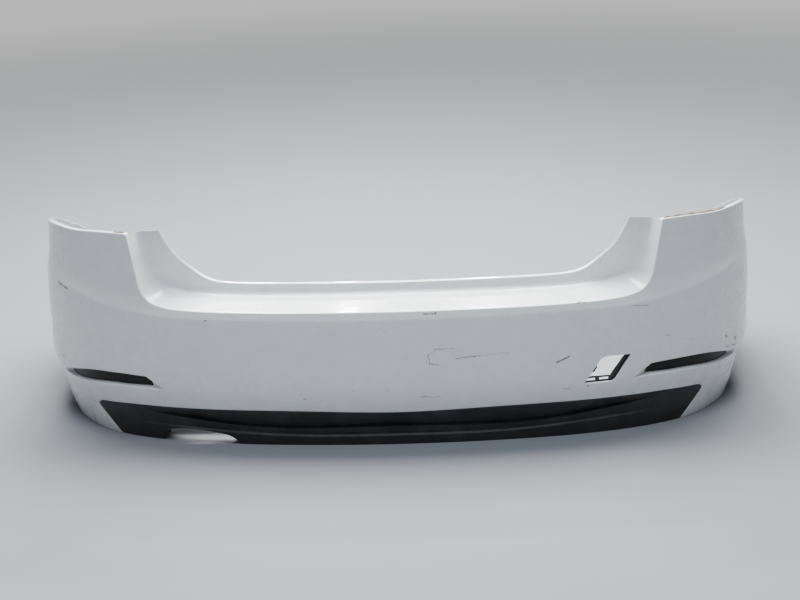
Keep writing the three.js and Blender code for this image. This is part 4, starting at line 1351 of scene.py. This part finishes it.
@dataclass(frozen=True)
class SmokedLens:
    """Smoked plastic over rows of small prisms."""

    base: tuple = rgb(0.010, 0.013, 0.010)

    def material(self) -> bpy.types.Material:
        """Build the lens finish."""
        n = Nodes("smoked_prisms")
        prisms = n.add("ShaderNodeTexVoronoi", Vector=n.place, Scale=420.0, Randomness=0.15)
        tint = n.blend(n.ramp(prisms.outputs["Distance"], 0.0, 0.7), rgb(0.020, 0.022, 0.018), self.base)
        n.set(Base_Color=tint, Roughness=0.35, Normal=n.bump(prisms.outputs["Distance"], 0.0004, 0.5))
        n.set(Coat_Weight=0.08, Coat_Roughness=0.1, Specular_IOR_Level=0.12)
        return n.material


@dataclass(frozen=True)
class TornFoam:
    """Brown open-cell foam."""

    def material(self) -> bpy.types.Material:
        """Build the foam."""
        n = Nodes("torn_foam")
        cells = n.add("ShaderNodeTexVoronoi", Vector=n.place, Scale=700.0).outputs["Distance"]
        colour = n.blend(n.noise(90.0, 4.0), rgb(0.12, 0.075, 0.045), rgb(0.30, 0.21, 0.14))
        n.set(Base_Color=colour, Roughness=0.95, Normal=n.bump(cells, 0.0006, 0.9))
        return n.material


@dataclass(frozen=True)
class PlainPlastic:
    """Plain moulded plastic with fine mottling."""

    name: str
    base: tuple
    rough: float

    def material(self) -> bpy.types.Material:
        """Build the plastic."""
        n = Nodes(self.name)
        mottle = n.noise(120.0, 4.0)
        lighter = tuple(min(1.0, c * 1.7 + 0.004) for c in self.base[:3]) + (1.0,)
        n.set(Base_Color=n.blend(n.ramp(mottle, 0.4, 0.8), self.base, lighter),
              Roughness=n.ramp(mottle, 0.3, 0.8, self.rough, self.rough + 0.15),
              Normal=n.bump(n.noise(900.0), 0.00005, 0.5))
        return n.material


@dataclass(frozen=True)
class DullMetal:
    """Sheet metal with rolling streaks, dirt and a little rust."""

    name: str
    base: tuple
    stain: tuple
    rough: float
    stained: float

    def material(self) -> bpy.types.Material:
        """Build the metal."""
        n = Nodes(self.name)
        stretched = n.add("ShaderNodeMapping", Vector=n.place, Scale=(1.0, 12.0, 12.0)).outputs["Vector"]
        streak = n.noise(60.0, 5.0, 0.6, stretched)
        dirt = n.ramp(n.noise(55.0, 6.0, 0.7), 0.5, 0.7)
        n.set(Base_Color=n.blend(n.math("MULTIPLY", dirt, self.stained), self.base, self.stain),
              Metallic=n.ramp(dirt, 0.0, 1.0, 0.95, 0.55),
              Roughness=n.ramp(streak, 0.3, 0.7, self.rough, self.rough + 0.2),
              Normal=n.bump(streak, 0.00008, 0.5))
        return n.material


def dress(piece: bpy.types.Object, material: bpy.types.Material) -> None:
    """Give a piece one material."""
    piece.data.materials.clear()
    piece.data.materials.append(material)


# ---------------------------------------------------------------- carried-over CAD pieces
class Hardware:
    """CAD pieces that keep their shape and take a finish."""

    def dress(self) -> None:
        """Assign a material to every carried-over node."""
        finishes = {
            Slot.HOUSING: PlainPlastic("housing_plastic", rgb(0.035, 0.036, 0.04), 0.5).material(),
            Slot.SPRING: DullMetal("phosphated_steel", rgb(0.30, 0.31, 0.33), rgb(0.16, 0.08, 0.04), 0.32,
                                   0.7).material(),
            Slot.SHIELD: DullMetal("shield_aluminium", rgb(0.62, 0.62, 0.63), rgb(0.20, 0.16, 0.12), 0.35,
                                   0.8).material(),
            Slot.RIVET: PlainPlastic("rivet_nylon", rgb(0.012, 0.012, 0.013), 0.42).material(),
        }
        words = {"reflector_housing": Slot.HOUSING, "clip_nut": Slot.SPRING, "push_nut": Slot.SPRING,
                 "heat_shield": Slot.SHIELD, "valance_rivet": Slot.RIVET}
        for name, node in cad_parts.items():
            for word, slot in words.items():
                if word in name:
                    dress(node, finishes[slot])
                    finish_shading(node, 32.0)
                    LOG.info("%s: %s", name, slot.value)


# ---------------------------------------------------------------- studio
@dataclass(frozen=True)
class AreaLight:
    """Soft rectangular light, in metres and watts."""

    name: str
    place: tuple[float, float, float]
    aim: tuple[float, float, float]
    size: tuple[float, float]
    power: float
    colour: tuple[float, float, float]

    def build(self) -> None:
        """Make the light."""
        data = bpy.data.lights.new(self.name, "AREA")
        data.shape = "RECTANGLE"
        data.size, data.size_y = self.size
        data.energy = self.power
        data.color = self.colour
        lamp = bpy.data.objects.new(self.name, data)
        bpy.context.scene.collection.objects.link(lamp)
        lamp.location = self.place
        lamp.rotation_euler = (Vector(self.aim) - Vector(self.place)).to_track_quat("-Z", "Y").to_euler()


@dataclass
class Studio:
    """Floor, lights and the camera."""

    camera_at: tuple = (54.3, -2738.8, 1433.1)
    yaw: float = -0.902
    pitch: float = 21.0
    roll: float = -1.905
    focal: float = 58.5
    horizon: float = 0.62
    zenith: float = 0.10
    floor_half: float = 60.0
    lights: tuple = (
        AreaLight("overhead", (0.0, 0.75, 2.9), (0, 0.2, 0.2), (3.0, 1.9), 430, (1.0, 0.985, 0.955)),
        AreaLight("ceiling", (0.0, -1.5, 3.6), (0, -0.3, 0.4), (2.0, 1.0), 95, (0.84, 0.92, 1.0)))
    tubes: tuple = ((-0.95, 0.34), (-0.36, 0.10), (0.45, 0.16))

    def camera(self) -> None:
        """Make the camera."""
        data = bpy.data.cameras.new("camera")
        data.lens = self.focal
        data.sensor_width = 36
        data.clip_end = 100
        camera = bpy.data.objects.new("camera", data)
        bpy.context.scene.collection.objects.link(camera)
        x, y, z = self.camera_at
        yaw, pitch, roll = (math.radians(a) for a in (self.yaw, self.pitch, self.roll))
        ahead = Vector((math.sin(yaw) * math.cos(pitch), math.cos(yaw) * math.cos(pitch), -math.sin(pitch)))
        right = Vector((math.cos(yaw), -math.sin(yaw), 0))
        up = right.cross(ahead)
        cosine, sine = math.cos(roll), math.sin(roll)
        right, up = cosine * right + sine * up, cosine * up - sine * right
        camera.matrix_world = Matrix((
            (right.x, up.x, -ahead.x, x * MM),
            (right.y, up.y, -ahead.y, y * MM + REARMOST),
            (right.z, up.z, -ahead.z, z * MM),
            (0, 0, 0, 1)))
        bpy.context.scene.camera = camera

    def floor(self) -> None:
        """Make the floor."""
        mesh = bpy.data.meshes.new("floor")
        half = self.floor_half
        corners = [(-half, -half, 0), (half, -half, 0), (half, half, 0), (-half, half, 0)]
        mesh.from_pydata(corners, [], [(0, 1, 2, 3)])
        floor = bpy.data.objects.new("floor", mesh)
        bpy.context.scene.collection.objects.link(floor)
        n = Nodes("pale_floor")
        far = n.add("ShaderNodeVectorMath", Vector=n.place, operation="LENGTH").outputs["Value"]
        grey = n.blend(n.noise(1.5, 2.0), rgb(0.235, 0.245, 0.265), rgb(0.215, 0.225, 0.245))
        n.set(Base_Color=grey, Roughness=0.9, Emission_Color=rgb(1.0, 1.0, 1.0),
              Emission_Strength=n.ramp(far, 2.5, 7.0, 0.0, self.horizon))
        dress(floor, n.material)

    def sky(self) -> None:
        """Make a sky that is pale at the horizon and dim above."""
        world = bpy.data.worlds.new("studio")
        world.use_nodes = True
        tree = world.node_tree
        way = tree.nodes.new("ShaderNodeTexCoord").outputs["Generated"]
        split = tree.nodes.new("ShaderNodeSeparateXYZ")
        fade = tree.nodes.new("ShaderNodeMapRange")
        tree.links.new(way, split.inputs[0])
        tree.links.new(split.outputs["Z"], fade.inputs["Value"])
        values = {"From Min": 0.02, "From Max": 0.22, "To Min": self.horizon, "To Max": self.zenith}
        for name, value in values.items():
            fade.inputs[name].default_value = value
        background = tree.nodes["Background"]
        background.inputs["Color"].default_value = rgb(0.90, 0.94, 1.0)
        tree.links.new(fade.outputs["Result"], background.inputs["Strength"])
        bpy.context.scene.world = world

    def build(self) -> None:
        """Make everything of the studio."""
        self.sky()
        self.floor()
        for light in self.lights:
            light.build()
        for number, (x, width) in enumerate(self.tubes):
            AreaLight(f"tube_{number}", (x, 2.7, 3.0), (x * 0.4, -0.3, 0.36), (width, 0.16), 45,
                      (1.0, 1.0, 0.97)).build()
        self.camera()


def main() -> None:
    """Build the studio and every piece, and report each."""
    logging.basicConfig(level=logging.INFO, format="%(name)s: %(message)s")
    Studio().build()
    skin = BumperSkin()
    painted = skin.build()
    dress(painted, WhitePaint().material())
    mount(painted, Slot.PAINT, ["bumper_skin"])
    valance = LowerValance(skin).build()
    dress(valance, GrainedBlack().material())
    mount(valance, Slot.VALANCE, ["lower_valance"])
    lens_finish = SmokedLens().material()
    foam_finish = TornFoam().material()
    for side in Side:
        lens = Reflector(side, skin.slot).build()
        dress(lens, lens_finish)
        mount(lens, Slot.LENS, [f"reflector_lens_{side.word}"])
    for side, to_x in ((Side.LEFT, 650), (Side.RIGHT, 790)):
        foam = LampFoam(side, 622, to_x).build()
        dress(foam, foam_finish)
        mount(foam, Slot.FOAM, [f"lamp_foam_{side.word}"])
    Hardware().dress()


if __name__ == "__main__":
    main()
